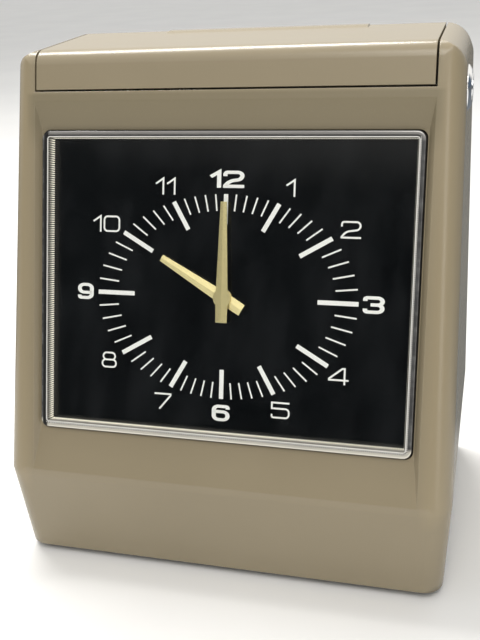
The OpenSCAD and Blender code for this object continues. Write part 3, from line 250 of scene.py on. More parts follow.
def moulded(name, color, rough=0.4, grain=0.00002, grain_scale=2600, edge=0.0004, shift=0.06,
            wear=0.12, **more):
    """Moulded plastic: fine grain, slow colour shift, softened and slightly paler edges."""
    s = Shader(name)
    slow = s.remap(s.noise(14, 3), 0.3, 0.7)
    tint = s.blend(slow, toned(color, 1 - shift), toned(color, 1 + shift))
    specks = s.remap(s.noise(900, 2), 0.62, 0.8, 0.0, 0.10)
    tint = s.blend(specks, tint, toned(color, 1.5, 0.03))
    rubbed = s.product(s.edge_mask(edge * 1.5), wear)
    tint = s.blend(rubbed, tint, toned(color, 1.7, 0.05))
    shine = s.remap(s.noise(40, 4, 0.6), 0.3, 0.7, rough - 0.04, rough + 0.05)
    normal = s.relief(s.noise(grain_scale, 2), grain, 0.6, s.soft_edge(edge))
    return s.finish(s.principled(tint, shine, 0.0, normal, **more))


def metal(name, color, rough=0.25, brushed=(1, 1, 1), scale=900, edge=0.00025, shift=0.08,
          depth=0.00001, stain=0.0):
    """Metal with brush or roll marks along the axis whose stretch is smallest."""
    s = Shader(name)
    lines = s.noise(scale, 3, 0.6, s.stretch(*brushed))
    tint = s.blend(s.remap(lines, 0.3, 0.7), toned(color, 1 - shift), toned(color, 1 + shift))
    if stain:
        cloud = s.remap(s.noise(60, 4, 0.65), 0.45, 0.75, 0.0, stain)
        tint = s.blend(cloud, tint, toned(color, 0.45))
    shine = s.remap(lines, 0.3, 0.7, rough - 0.05, rough + 0.08)
    normal = s.relief(lines, depth, 0.5, s.soft_edge(edge))
    return s.finish(s.principled(tint, shine, 1.0, normal))


def rubber(name, color, rough=0.7):
    """Dull rubber, worn pale in patches."""
    s = Shader(name)
    worn = s.remap(s.noise(120, 5, 0.7), 0.35, 0.75)
    tint = s.blend(worn, color, toned(color, 1.8, 0.01))
    normal = s.relief(s.noise(1800, 3, 0.7), 0.00004, 0.7, s.soft_edge(0.0004))
    shine = s.remap(worn, 0, 1, rough - 0.1, rough + 0.1)
    return s.finish(s.principled(tint, shine, 0.0, normal))


CASE = case_plastic()
BLACK = moulded("black_plastic", (0.018, 0.018, 0.019, 1), 0.42, 0.00003, 2200)
GREY = moulded("grey_plastic", (0.20, 0.20, 0.19, 1), 0.45, 0.00003, 2200)
WHITE = moulded("white_plastic", (0.72, 0.70, 0.64, 1), 0.42)
CHROME = metal("chrome", (0.86, 0.86, 0.87, 1), 0.10, scale=500, edge=0.0003, shift=0.03,
               depth=0.000004)
ZINC = metal("zinc_sheet", (0.60, 0.61, 0.60, 1), 0.38, (1, 1, 0.15), 700, 0.0003, 0.10,
             stain=0.25)
STEEL = metal("steel", (0.62, 0.62, 0.62, 1), 0.24, (0.05, 1, 1), 1500, 0.0002, 0.10)
BRASS = metal("brass", (0.78, 0.58, 0.27, 1), 0.27, (1, 1, 1), 1200, 0.0002, 0.10, stain=0.3)
MOTOR = metal("motor_can", (0.52, 0.52, 0.52, 1), 0.33, (0.1, 1, 1), 900, 0.0004, stain=0.2)
RUBBER = rubber("rubber", (0.02, 0.02, 0.021, 1))


# ---------------------------------------------------------------- materials of dial and window

def dial_gloss():
    """Gloss black plate with a little dust."""
    s = Shader("dial_black")
    cloud = s.remap(s.noise(22, 4, 0.6), 0.3, 0.7)
    tint = s.blend(cloud, (0.0016, 0.0021, 0.0024, 1), (0.0030, 0.0038, 0.0044, 1))
    dust = s.remap(s.cells(420), 0.03, 0.0, 0.0, 0.05)
    tint = s.blend(dust, tint, (0.25, 0.24, 0.22, 1))
    shine = s.remap(s.noise(90, 5, 0.7), 0.3, 0.7, 0.10, 0.18)
    return s.finish(s.principled(tint, shine, 0.0, s.relief(s.noise(60, 2), 0.00002, 0.15)))


def print_white():
    """Printed ink, a little uneven."""
    s = Shader("dial_print")
    ink = s.remap(s.noise(900, 3, 0.7), 0.3, 0.75)
    tint = s.blend(ink, (0.86, 0.86, 0.84, 1), (0.93, 0.93, 0.91, 1))
    return s.finish(s.principled(tint, 0.5, 0.0, s.relief(ink, 0.00001, 0.4)))


def gold():
    """Pale gold lacquer of the hands."""
    s = Shader("hand_gold")
    fine = s.noise(2600, 3, 0.65)
    tint = s.blend(s.remap(fine, 0.3, 0.7), (0.84, 0.72, 0.36, 1), (0.94, 0.83, 0.44, 1))
    normal = s.relief(fine, 0.00001, 0.4, s.soft_edge(0.00008))
    return s.finish(s.principled(tint, s.remap(fine, 0.3, 0.7, 0.26, 0.36), 0.7, normal))


def clear_pane():
    """Thin clear pane: light passes straight through, and a weak mirror lies over its front."""
    s = Shader("lens_pane")
    normal = s.relief(s.noise(25, 2), 0.00002, 0.08)
    haze = s.remap(s.noise(140, 5, 0.7), 0.4, 0.8, 0.02, 0.06)
    mirror = s.add("ShaderNodeBsdfGlossy", {
        "Color": (1, 1, 1, 1), "Roughness": haze, "Normal": normal})
    through = s.add("ShaderNodeBsdfTransparent", {"Color": (0.985, 0.99, 0.985, 1)})
    edge = s.add("ShaderNodeFresnel", {"IOR": 1.46})
    behind = s.add("ShaderNodeNewGeometry").outputs["Backfacing"]
    front = s.product(edge.outputs["Fac"], s.math("SUBTRACT", 1.0, behind))
    mix = s.add("ShaderNodeMixShader", {"Fac": front})
    s.put(mix.inputs[1], through.outputs[0])
    s.put(mix.inputs[2], mirror.outputs[0])
    return s.finish(mix.outputs[0])


def clear_rim():
    """The pane's thick flange: polished, its colour painted reflection and light, dark at the
    sides and bright where it gathers light.
    """
    s = Shader("lens_rim")
    x, _, z = s.axes()
    bottom, top = s.remap(z, 0.0740, 0.0725), s.remap(z, 0.1960, 0.1975)
    cloud = s.remap(s.noise(70, 3), 0.3, 0.7)
    # painted reflection and light: dark grey at the sides, paler towards the top, bright at the
    # bottom, with pale streaks
    tint = s.blend(cloud, (0.055, 0.055, 0.056, 1), (0.10, 0.10, 0.10, 1))
    tint = s.blend(s.product(top, 0.8), tint, (0.30, 0.29, 0.275, 1))
    tint = s.blend(bottom, tint, (0.66, 0.63, 0.55, 1))
    streak = s.remap(s.noise(260, 3, 0.6, s.stretch(0.06, 1, 1)), 0.45, 0.7, 0.0, 0.4)
    tint = s.blend(streak, tint, (0.34, 0.34, 0.33, 1))
    # painted shade: black on the flange's walls, and on the inner part of its face at the left
    left = s.product(s.remap(x, -0.0825, -0.0835), s.remap(s.product(x, -1.0), 0.0856, 0.0852))
    shade = s.math("MAXIMUM", left, s.remap(face_level(s), -0.00112, -0.00122))
    tint = s.blend(shade, tint, (0.008, 0.008, 0.008, 1))
    normal = s.relief(s.noise(500, 2), 0.00002, 0.2, s.soft_edge(0.00015))
    return s.finish(s.principled(
        tint, s.remap(shade, 0.0, 1.0, 0.13, 0.6), 0.3, normal,
        Coat_Weight=s.remap(shade, 0.0, 1.0, 0.6, 0.0), Coat_Roughness=0.05))


def clear_ribs(name, glow):
    """Ribs on the window's inner walls, which pass light on and are brightest at their rear:
    painted light, paler and glowing there.
    """
    s = Shader(name)
    deep = s.remap(face_level(s), -0.0016, -0.0052)
    cloud = s.remap(s.noise(240, 4, 0.7), 0.3, 0.7)
    tint = s.blend(deep, (0.26, 0.245, 0.215, 1), (0.86, 0.81, 0.68, 1))
    tint = s.blend(s.product(cloud, 0.25), tint, (0.95, 0.93, 0.86, 1))
    normal = s.relief(s.noise(900, 2), 0.00002, 0.3)
    # painted light: an emission glow, strongest at the ribs' rear
    return s.finish(s.principled(tint, 0.18, 0.15, normal, Emission_Color=tint,
                                 Emission_Strength=s.product(deep, glow)))


DIAL = dial_gloss()
PRINT = print_white()
GOLD = gold()
PANE = clear_pane()
RIM = clear_rim()
# painted highlight: the clear rim's inner edge and its teeth are near-white
EDGE = moulded("lens_edge", (0.80, 0.79, 0.75, 1), 0.15, 0.00001, 1800, 0.0001, wear=0.1,
               Coat_Weight=0.5)
# painted shade: the window's clear inner wall is near-black
VALLEY = moulded("lens_valley", (0.10, 0.097, 0.088, 1), 0.25, 0.00001, 1800, 0.0001, 0.15, 0.1)
RIBS = clear_ribs("lens_ribs", 0.6)


# ---------------------------------------------------------------- materials of the works

def board_green():
    """Lacquered board with paler tracks and round pads."""
    s = Shader("board_green")
    tracks = s.math("GREATER_THAN", s.bands(70, "X", "SIN", 6.0), 0.72)
    pads = s.math("LESS_THAN", s.cells(300), 0.16)
    tint = s.blend(tracks, (0.012, 0.10, 0.035, 1), (0.03, 0.17, 0.06, 1))
    tint = s.blend(pads, tint, (0.50, 0.50, 0.46, 1))
    rough = s.remap(pads, 0, 1, 0.32, 0.5)
    normal = s.relief(s.math("ADD", tracks, pads), 0.00004, 0.5, s.soft_edge(0.0002))
    return s.finish(s.principled(tint, rough, 0.0, normal))


def wrap_yellow():
    """Turns of yellow tape."""
    s = Shader("wrap_yellow")
    turns = s.bands(90, "X", "SAW", 0.4)
    tint = s.blend(turns, (0.62, 0.46, 0.07, 1), (0.74, 0.58, 0.12, 1))
    normal = s.relief(turns, 0.00008, 0.5, s.soft_edge(0.0004))
    return s.finish(s.principled(tint, 0.35, 0.0, normal))


def core_steel():
    """The stacked sheets of a transformer's core."""
    s = Shader("core_steel")
    sheets = s.bands(620, "Y", "SIN", 0.6)
    tint = s.blend(sheets, (0.10, 0.10, 0.105, 1), (0.26, 0.26, 0.27, 1))
    normal = s.relief(sheets, 0.0001, 0.6, s.soft_edge(0.0003))
    return s.finish(s.principled(tint, 0.45, 0.7, normal))


def ink_cloth():
    """Woven ribbon, soaked in ink."""
    s = Shader("ribbon_cloth")
    weave = s.product(s.bands(2200, "X"), s.bands(2200, "Z"))
    tint = s.blend(weave, (0.010, 0.008, 0.018, 1), (0.05, 0.045, 0.07, 1))
    normal = s.relief(weave, 0.00006, 0.7)
    return s.finish(s.principled(tint, 0.75, 0.0, normal, Sheen_Weight=0.3))


TAPE = wrap_yellow()

SLOT_MATERIALS = {
    "case": CASE, "lens": RIM, "chrome": CHROME, "zinc_sheet": ZINC, "steel": STEEL,
    "brass": BRASS, "dial_black": DIAL, "hand_gold": GOLD, "black_plastic": BLACK,
    "grey_plastic": GREY, "white_plastic": WHITE, "rubber": RUBBER, "motor": MOTOR,
    "board_green": board_green(), "ribbon": ink_cloth(), "core": core_steel(),
    "wrap_yellow": TAPE,
}


def dress_nodes():
    """Every CAD node gets the material of its slot in the record."""
    for entry in frame["record"]["subparts"]:
        for held in nodes[entry["node"]].material_slots:
            held.link = "OBJECT"
            held.material = SLOT_MATERIALS[entry["material_slot"]]


dress_nodes()


# ---------------------------------------------------------------- mesh helpers

def on_face(x, s, n):
    """A point of the leaning face: x across, s up the face, n out of it, in mm."""
    return Vector((x, FACE_Y + s * math.sin(LEAN) - n * math.cos(LEAN),
                   FACE_Z + s * math.cos(LEAN) + n * math.sin(LEAN))) * MM


def on_dial(u, v, n=DIAL_N):
    """A point of the dial, from the hands' axis."""
    return on_face(u, DIAL_S + v, n)


def piece(name, mesh, body, material, smooth=False):
    """An object that rides on a body, with one material."""
    obj = bpy.data.objects.new(name, mesh)
    scene.collection.objects.link(obj)
    mesh.materials.append(material)
    if smooth:
        mesh.shade_smooth()
        mesh.set_sharp_from_angle(angle=math.radians(40))
    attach(obj, body)
    return obj


def mesh_of(name, verts, faces):
    mesh = bpy.data.meshes.new(name)
    mesh.from_pydata([tuple(v) for v in verts], [], faces)
    mesh.validate()
    bm = bmesh.new()
    bm.from_mesh(mesh)
    bmesh.ops.recalc_face_normals(bm, faces=bm.faces)
    bm.to_mesh(mesh)
    bm.free()
    return mesh


def join(parts):
    """One set of verts and faces out of many."""
    verts, faces = [], []
    for v, f in parts:
        start = len(verts)
        verts += v
        faces += [[i + start for i in face] for face in f]
    return verts, faces


def joined_piece(name, parts, body, material):
    return piece(name, mesh_of(name, *join(parts)), body, material)


def ring_band(sections):
    """Faces between rings of equal length, in order."""
    count = len(sections[0])
    verts = [p for ring in sections for p in ring]
    faces = []
    for level in range(len(sections) - 1):
        low, high = level * count, (level + 1) * count
        for i in range(count):
            j = (i + 1) % count
            faces.append([low + i, low + j, high + j, high + i])
    return verts, faces


def slab(outline, low, high, place):
    """A flat shape between two levels, put in space by place(u, v, level)."""
    n = len(outline)
    verts = [place(u, v, low) for u, v in outline] + [place(u, v, high) for u, v in outline]
    faces = [list(range(n))[::-1], list(range(n, 2 * n))]
    faces += [[i, (i + 1) % n, n + (i + 1) % n, n + i] for i in range(n)]
    return verts, faces


def lathe(profile, centre, axis="X", steps=64):
    """A turned body with closed ends; profile holds (along, radius) in mm from centre."""
    rings = []
    for along, radius in profile:
        ring = []
        for k in range(steps):
            a = 2 * math.pi * k / steps
            c, s = radius * math.cos(a), radius * math.sin(a)
            offset = {"X": (along, c, s), "Y": (c, along, s), "Z": (c, s, along)}[axis]
            ring.append((Vector(centre) + Vector(offset)) * MM)
        rings.append(ring)
    verts, faces = ring_band(rings)
    faces += [list(range(steps)), list(range(len(verts) - steps, len(verts)))]
    return verts, faces


def tube(profile, centre, axis="X", steps=64):
    """A turned ring: its profile runs round and closes on itself."""
    verts, faces = lathe(profile + profile[:1], centre, axis, steps)
    return verts, faces[:-2]


def block(low, high, cut=0.3):
    """A box with small chamfers, from low to high in mm."""
    x0, y0, z0 = low
    x1, y1, z1 = high
    rings = []
    for z, c in ((z0, cut), (z0 + cut, 0), (z1 - cut, 0), (z1, cut)):
        rings.append([Vector(p) * MM for p in (
            (x0 + c + cut, y0 + c, z), (x1 - c - cut, y0 + c, z), (x1 - c, y0 + c + cut, z),
            (x1 - c, y1 - c - cut, z), (x1 - c - cut, y1 - c, z), (x0 + c + cut, y1 - c, z),
            (x0 + c, y1 - c - cut, z), (x0 + c, y0 + c + cut, z))])
    verts, faces = ring_band(rings)
    return verts, faces + [list(range(8)), list(range(24, 32))]


def helix(x0, x1, radius, rise, pitch, centre, steps=20):
    """A screw thread along X: a ridge of triangular section wound round its core."""
    count = int((x1 - x0) / pitch * steps)
    foot = 0.38 * pitch
    verts, faces = [], []
    for k in range(count + 1):
        a = 2 * math.pi * k / steps
        x = x0 + (x1 - x0) * k / count
        for dx, r in ((-foot, radius), (0, radius + rise), (foot, radius)):
            offset = Vector((x + dx, r * math.cos(a), r * math.sin(a)))
            verts.append((Vector(centre) + offset) * MM)
    for k in range(count):
        a, b = 3 * k, 3 * k + 3
        faces += [[a + i, a + (i + 1) % 3, b + (i + 1) % 3, b + i] for i in range(3)]
    faces += [[0, 1, 2], [len(verts) - 3, len(verts) - 2, len(verts) - 1]]
    return verts, faces


# ---------------------------------------------------------------- dial marks

PRINT_LOW, PRINT_HIGH = DIAL_N - 0.02, DIAL_N + 0.03
# half widths and half heights of the ellipses that the marks run between
MARK_OUTER, HOUR_INNER = (60.5, 45.9), (42.6, 32.6)
HOUR_WIDTH, MINUTE_WIDTH, MINUTE_INNER = 2.0, 0.7, 0.84


def ellipse_reach(angle, half_w, half_h):
    return 1 / math.hypot(math.sin(angle) / half_w, math.cos(angle) / half_h)


def mark(angle, width, outer, inner):
    along = Vector((math.sin(angle), math.cos(angle)))
    side = Vector((along.y, -along.x)) * width / 2
    a, b = along * inner, along * outer
    corners = [a - side, b - side, b + side, a + side]
    return slab([(p.x, p.y) for p in corners], PRINT_LOW, PRINT_HIGH, on_dial)


def dial_marks():
    parts = []
    for i in range(60):
        angle = math.radians(6 * i)
        outer = ellipse_reach(angle, *MARK_OUTER)
        if i % 5 == 0:
            parts.append(mark(angle, HOUR_WIDTH, outer, ellipse_reach(angle, *HOUR_INNER)))
        else:
            parts.append(mark(angle, MINUTE_WIDTH, outer, outer * MINUTE_INNER))
    joined_piece("dial_marks", parts, "frame", PRINT)


# ---------------------------------------------------------------- dial numerals

DIGIT_HIGH = 7.5
CORNER_SHARE = 0.22
THIN = {"1": 4.4, "2": 8.8, "4": 9.0, "5": 8.6, "7": 8.2, "8": 7.6, "0": 8.2}
BOLD = {"1": 5.8, "2": 9.7, "3": 9.3, "6": 8.4, "9": 8.0}
BOLD_HOURS = ("12", "3", "6", "9")
NUMERALS = {
    "12": (0, 52.4), "1": (29, 49), "2": (56, 31.7), "3": (67, 0), "4": (53, -31.8),
    "5": (27.6, -49), "6": (0, -52.4), "7": (-27.9, -49), "8": (-54.8, -31.6), "9": (-67, 0),
    "10": (-57, 31.5), "11": (-28.6, 49),
}


def arc_path(points, radius, steps=6):
    """A path through points (x, y, rounded), whose rounded corners turn on an arc."""
    closed = points[0][:2] == points[-1][:2]
    ring = points[:-1] if closed else points
    out = []
    count = len(ring)
    for i, p in enumerate(ring):
        here = Vector(p[:2])
        ends = not closed and i in (0, count - 1)
        if ends or not (len(p) > 2 and p[2]):
            out.append(here)
            continue
        before, after = Vector(ring[i - 1][:2]), Vector(ring[(i + 1) % count][:2])
        r = min(radius, (before - here).length / 2, (after - here).length / 2)
        a = here + (before - here).normalized() * r
        b = here + (after - here).normalized() * r
        for k in range(steps + 1):
            angle = k / steps * math.pi / 2
            w_a, w_b = 1 - math.sin(angle), 1 - math.cos(angle)
            out.append(here + (a - here) * w_a + (b - here) * w_b)
    return out, closed


def stroke_quads(path, closed, width):
    """A stroke along a path, as quads with mitred corners."""
    clean = [path[0]]
    for p in path[1:]:
        if (p - clean[-1]).length > 1e-6:
            clean.append(p)
    if closed and (clean[0] - clean[-1]).length < 1e-6:
        clean.pop()
    count = len(clean)
    sides = []
    for i, p in enumerate(clean):
        back = clean[i] - clean[i - 1] if closed or i > 0 else clean[1] - clean[0]
        ahead = clean[(i + 1) % count] - p if closed or i < count - 1 else back
        d0, d1 = back.normalized(), ahead.normalized()
        n0, n1 = Vector((-d0.y, d0.x)), Vector((-d1.y, d1.x))
        mid = (n0 + n1).normalized()
        reach = width / 2 / max(0.45, mid.dot(n0))
        sides.append((p + mid * reach, p - mid * reach))
    quads = []
    for i in range(count if closed else count - 1):
        j = (i + 1) % count
        quads.append([sides[i][0], sides[j][0], sides[j][1], sides[i][1]])
    return quads


def digit_paths(digit, w, h, t):
    """Centre lines of a squared digit, w wide and h high, drawn with stroke t."""
    a, b = t / 2, w - t / 2
    c, d = t / 2, h - t / 2
    m = h * 0.51
    a_in, b_in = w * 0.06 + a, b - w * 0.06
    return {
        "0": [[(a, c, 1), (b, c, 1), (b, d, 1), (a, d, 1), (a, c, 1)]],
        "1": [[(a, h * 0.64), (b, d + t * 0.1), (b, 0)]],
        "2": [[(a, h * 0.68), (a, d, 1), (b, d, 1), (b, m, 1), (a + w * 0.22, h * 0.40, 1),
               (a, c + h * 0.04, 0), (a, c), (w, c)]],
        "3": [[(a, h * 0.72), (a, d, 1), (b, d, 1), (b, m, 1), (w * 0.35, m)],
              [(w * 0.35, m), (b, m, 1), (b, c, 1), (a, c, 1), (a, h * 0.28)]],
        "4": [[(w * 0.80, 0), (w * 0.80, h)],
              [(w * 0.80, d), (w * 0.68, d), (a, h * 0.34), (a, h * 0.27), (w, h * 0.27)]],
        "5": [[(w * 0.97, d), (a, d), (a, h * 0.60), (b, h * 0.60, 1), (b, c, 1), (a, c, 1),
               (a, h * 0.26)]],
        "6": [[(b, h * 0.74), (b, d, 1), (a, d, 1), (a, c, 1), (b, c, 1), (b, h * 0.58, 1),
               (a, h * 0.58)]],
        "7": [[(0, d), (b, d), (b, h * 0.86), (w * 0.30, 0)]],
        "8": [[(a, c, 1), (b, c, 1), (b, m, 1), (a, m, 1), (a, c, 1)],
              [(a_in, m, 1), (b_in, m, 1), (b_in, d, 1), (a_in, d, 1), (a_in, m, 1)]],
        "9": [[(a, h * 0.26), (a, c, 1), (b, c, 1), (b, d, 1), (a, d, 1), (a, h * 0.42, 1),
               (b, h * 0.42)]],
    }[digit]


def numeral(text, u, v, bold):
    """One hour number, centred at (u, v) on the dial."""
    widths = BOLD if bold else THIN
    stroke, stretch, gap = (1.4, 1.38, 0.9) if bold else (0.8, 1.0, 1.0)
    at = u - (sum(widths[c] for c in text) + gap * (len(text) - 1)) / 2
    parts = []
    for c in text:
        for k, points in enumerate(digit_paths(c, widths[c] / stretch, DIGIT_HIGH, stroke)):
            path, closed = arc_path(points, DIGIT_HIGH * CORNER_SHARE)
            top = PRINT_HIGH + 0.004 * k
            for quad in stroke_quads(path, closed, stroke):
                corners = [(at + p.x * stretch, v - DIGIT_HIGH / 2 + p.y) for p in quad]
                parts.append(slab(corners, PRINT_LOW, top, on_dial))
        at += widths[c] + gap
    return parts


def dial_numerals():
    parts = []
    for text, (u, v) in NUMERALS.items():
        parts += numeral(text, u, v, text in BOLD_HOURS)
    joined_piece("dial_numerals", parts, "frame", PRINT)


dial_marks()
dial_numerals()


# ---------------------------------------------------------------- window

# the pane's outline on the face: half its width, its foot and head up the face, its corners
LENS_W, LENS_S0, LENS_S1, LENS_R = 86.5, 22.2, 159.8, 4.0

# sections round the window, as (inset from the outline, level over the face)
RIM_SECTION = [
    (-3.0, -6.8), (-3.0, -5.6), (0.0, -5.6), (0.0, -1.7), (0.2, -1.4), (0.42, -1.1),
    (0.75, -1.0), (1.5, -1.0), (1.85, -1.08), (2.0, -1.3), (2.0, -6.8), (-3.0, -6.8)]
GROOVE_SECTION = [(2.01, -6.9), (2.01, -1.42), (2.56, -1.42), (2.56, -6.9), (2.01, -6.9)]
EDGE_SECTION = [
    (2.57, -6.9), (2.57, -1.4), (2.65, -1.2), (2.93, -1.2), (3.0, -1.4), (3.0, -6.9),
    (2.57, -6.9)]
WALL_SECTION = [(3.01, -7.3), (3.01, -1.6), (3.08, -1.6), (3.08, -7.3), (3.01, -7.3)]
PANE_INSET, PANE_FRONT, PANE_BACK = 3.5, -1.3, -3.4

# small bars on the window's four inner walls: where they stand, pitch, share of it, reach
RIB_INSET, RIB_LOW, RIB_HIGH, RIB_PITCH, RIB_FILL = 3.06, -7.3, -1.5, 1.0, 0.56
RIB_REACH = (0.4, 0.12, 0.4, 0.12)
TOOTH_INSET, TOOTH_LOW, TOOTH_HIGH, TOOTH_PITCH, TOOTH_FILL = 2.03, -1.6, -1.2, 0.9, 0.5
TOOTH_REACH = 0.5


def window_ring(inset, level, steps=8):
    """Points round the window's outline, drawn in by inset."""
    r = max(0.3, LENS_R - inset)
    x1, s0, s1 = LENS_W - inset, LENS_S0 + inset, LENS_S1 - inset
    centres = [(x1 - r, s1 - r, 0), (-x1 + r, s1 - r, 90),
               (-x1 + r, s0 + r, 180), (x1 - r, s0 + r, 270)]
    points = []
    for cx, cs, start in centres:
        for k in range(steps + 1):
            angle = math.radians(start + 90 * k / steps)
            points.append(on_face(cx + r * math.cos(angle), cs + r * math.sin(angle), level))
    return points


def window_band(name, section, material, smooth=False):
    mesh = mesh_of(name, *ring_band([window_ring(inset, level) for inset, level in section]))
    return piece(name, mesh, "case", material, smooth)


def window():
    """Flange, groove, edge and inner wall round a thin clear pane, coloured with painted light
    and shade: a bright flange, a black groove, a white edge and a near-black inner wall.
    """
    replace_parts(window_band("lens_rim", RIM_SECTION, RIM, smooth=True), "window_lens")
    # painted shade: the groove is lined with black
    window_band("lens_groove", GROOVE_SECTION, BLACK)
    # painted highlight: the edge is near-white
    window_band("lens_edge", EDGE_SECTION, EDGE)
    # painted shade: the inner wall is near-black
    window_band("lens_wall", WALL_SECTION, VALLEY)
    front = window_ring(PANE_INSET, PANE_FRONT)
    verts, faces = ring_band([front, window_ring(PANE_INSET, PANE_BACK)])
    count = len(front)
    faces += [list(range(count)), list(range(count, 2 * count))[::-1]]
    pane = piece("lens_pane", mesh_of("lens_pane", verts, faces), "case", PANE)
    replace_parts(pane, "window_lens")


def wall_lines(inset):
    """The inner edges as (start, end, inward) on the face: left, right, bottom, top."""
    x, s0, s1 = LENS_W - inset, LENS_S0 + inset, LENS_S1 - inset
    return [((-x, s0), (-x, s1), (1, 0)), ((x, s0), (x, s1), (-1, 0)),
            ((-x, s0), (x, s0), (0, 1)), ((-x, s1), (x, s1), (0, -1))]


def comb(line, low, high, pitch, fill, reach):
    """A row of small bars along one edge of the window, from low to high."""
    start, end, inward = (Vector(v) for v in line)
    count = int((end - start).length / pitch)
    step = (end - start) / count
    parts = []
    for i in range(1, count):
        a = start + step * (i - fill / 2)
        b = a + step * fill
        corners = [a, b, b + inward * reach, a + inward * reach]
        parts.append(slab([(p.x, p.y) for p in corners], low, high, on_face))
    return join(parts)


def window_ribs():
    """Ribs on all four inner walls, and teeth along the right and bottom edges."""
    ribs = [comb(line, RIB_LOW, RIB_HIGH, RIB_PITCH, RIB_FILL, reach)
            for line, reach in zip(wall_lines(RIB_INSET), RIB_REACH)]
    joined_piece("lens_ribs", ribs, "case", RIBS)
    teeth = [comb(line, TOOTH_LOW, TOOTH_HIGH, TOOTH_PITCH, TOOTH_FILL, TOOTH_REACH)
             for line in wall_lines(TOOTH_INSET)[1:3]]
    # painted highlight: the teeth share the edge's near-white
    joined_piece("lens_teeth", teeth, "case", EDGE)


window()
window_ribs()


# ---------------------------------------------------------------- lock and screws

LOCK_AXIS = (0.0, 8.975, 212.3)
LOCK_HEAD = [
    (102.58, 6.12), (102.58, 7.5), (102.45, 7.75), (101.35, 9.4), (101.0, 9.68), (100.69, 9.68),
    (100.69, 8.0), (99.6, 8.0)]
LOCK_TAIL = [(92.75, 7.98), (92.5, 7.7), (92.5, 6.12)]
LOCK_THREAD_FROM, LOCK_THREAD_TO, LOCK_THREAD_PITCH = 99.4, 93.4, 0.9
LEAD_AXIS = (0, 18, 133)
LEAD_FROM, LEAD_TO, LEAD_CORE, LEAD_RISE, LEAD_PITCH = -80.5, 81.5, 3.46, 0.17, 2.0
# back plate's screws: outer face of the plate, then columns and rows
BACK_Y, BACK_X, BACK_Z = 69.5, (-89, 89), (14, 110, 205)
BACK_TOP_X, BACK_TOP_Z = (-32, 32), 219
BASE_X, BASE_Y, BASE_Z = (-60, 60), (-52, 58), 6.0


def lock_looks():
    """The lock's barrel with its bevelled ring outside and its thread inside."""
    body = list(LOCK_HEAD)
    x = LOCK_THREAD_FROM
    while x > LOCK_THREAD_TO:
        body += [(x, 7.98), (x - 0.3, 7.98), (x - 0.5, 7.72), (x - 0.7, 7.72)]
        x -= LOCK_THREAD_PITCH
    mesh = mesh_of("lock_ring", *tube(body + LOCK_TAIL, LOCK_AXIS, "X", 96))
    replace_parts(piece("lock_ring", mesh, "case", CHROME, smooth=True), "lock_barrel")


def lead_looks():
    """Thread of the lead screw between its side frames."""
    thread = helix(LEAD_FROM, LEAD_TO, LEAD_CORE, LEAD_RISE, LEAD_PITCH, LEAD_AXIS)
    joined_piece("lead_thread", [thread], "screw", STEEL)


def screw_head(centre, axis, out, radius, rise):
    """A pan head; out is 1 or -1 along its axis."""
    dome = [(-0.4 * out, radius), (0.0, radius), (0.55 * rise * out, radius * 0.93),
            (0.9 * rise * out, radius * 0.7), (rise * out, radius * 0.4)]
    return lathe(dome, centre, axis, 28)


def cross_mark(centre, axis, out, radius, rise):
    """The dark cross in a screw's head, just over its dome."""
    parts = []
    near, far = sorted((rise * 0.4 * out, (rise + 0.03) * out))
    for wide, high in ((0.62, 0.17), (0.17, 0.62)):
        a, b = wide * radius, high * radius
        low, top = {"Y": ((-a, near, -b), (a, far, b)), "Z": ((-a, -b, near), (a, b, far))}[axis]
        parts.append(block(Vector(centre) + Vector(low), Vector(centre) + Vector(top), 0.02))
    return join(parts)


def screw_looks():
    """Pan heads on the back plate and under the base."""
    screws = [((x, BACK_Y, z), "Y", 1, 2.9, 0.6) for x in BACK_X for z in BACK_Z]
    screws += [((x, BACK_Y, BACK_TOP_Z), "Y", 1, 2.9, 0.6) for x in BACK_TOP_X]
    screws += [((x, y, BASE_Z), "Z", -1, 2.7, 0.8) for x in BASE_X for y in BASE_Y]
    joined_piece("screw_heads", [screw_head(*screw) for screw in screws], "frame", STEEL)
    joined_piece("screw_crosses", [cross_mark(*screw) for screw in screws], "frame", BLACK)


lock_looks()
lead_looks()
screw_looks()


# ---------------------------------------------------------------- electrics

COIL_X, COIL_Z = (39.9, 70.1), (12.1, 42.3)
COIL_ENDS_Y = ((-20.15, -14.1), (18.1, 24.15))
TAG_X, TAG_HALF, TAG_Y, TAG_Z = (48, 55, 62), 1.2, (-20.0, -19.2), (42.2, 45.6)
# rear faces of the head motor and the feed motor: x, way out, y and z
MOTOR_ENDS = ((-74.0, 1, 0.68, 123.0), (74.0, -1, 28.58, 102.0))
# chips as (from, to, near edge, far edge), the first along X and the second along Y
CHIP_X, CHIP_Y = (-60, -34, -10, 2), (-20, 10, -24, -14)
LEG_PITCH, LEG_HALF, LEG_Z = 2.54, 0.3, (19.7, 21.0)
RESISTORS, RESISTOR_X, RESISTOR_PITCH, RESISTOR_Y, RESISTOR_Z = 7, -78, 7.5, -33.0, 20.8
RESISTOR_BODY = [(0, 0.5), (0.3, 1.05), (1.0, 1.1), (1.6, 0.9), (4.4, 0.9), (5.0, 1.1),
                 (5.7, 1.05), (6.0, 0.5)]
CAN_TOPS = ((-70, 26, 35.6), (-56, 26, 33.6), (-42, 26, 31.6), (-28, 26, 29.6))
PIN_PLACES = ((53.0, 25.0), (67.0, 25.0), (60.0, 29.0))
PIN_HALF_X, PIN_HALF_Z, PIN_Y = 1.0, 2.0, (55.0, 66.0)


def transformer_looks():
    """Taped windings on both sides of the core, and three tags."""
    tape = [block((COIL_X[0], y0, COIL_Z[0]), (COIL_X[1], y1, COIL_Z[1]), 0.12)
            for y0, y1 in COIL_ENDS_Y]
    joined_piece("coil_tape", tape, "frame", TAPE)
    tags = [block((x - TAG_HALF, TAG_Y[0], TAG_Z[0]), (x + TAG_HALF, TAG_Y[1], TAG_Z[1]), 0.2)
            for x in TAG_X]
    joined_piece("coil_tags", tags, "frame", STEEL)


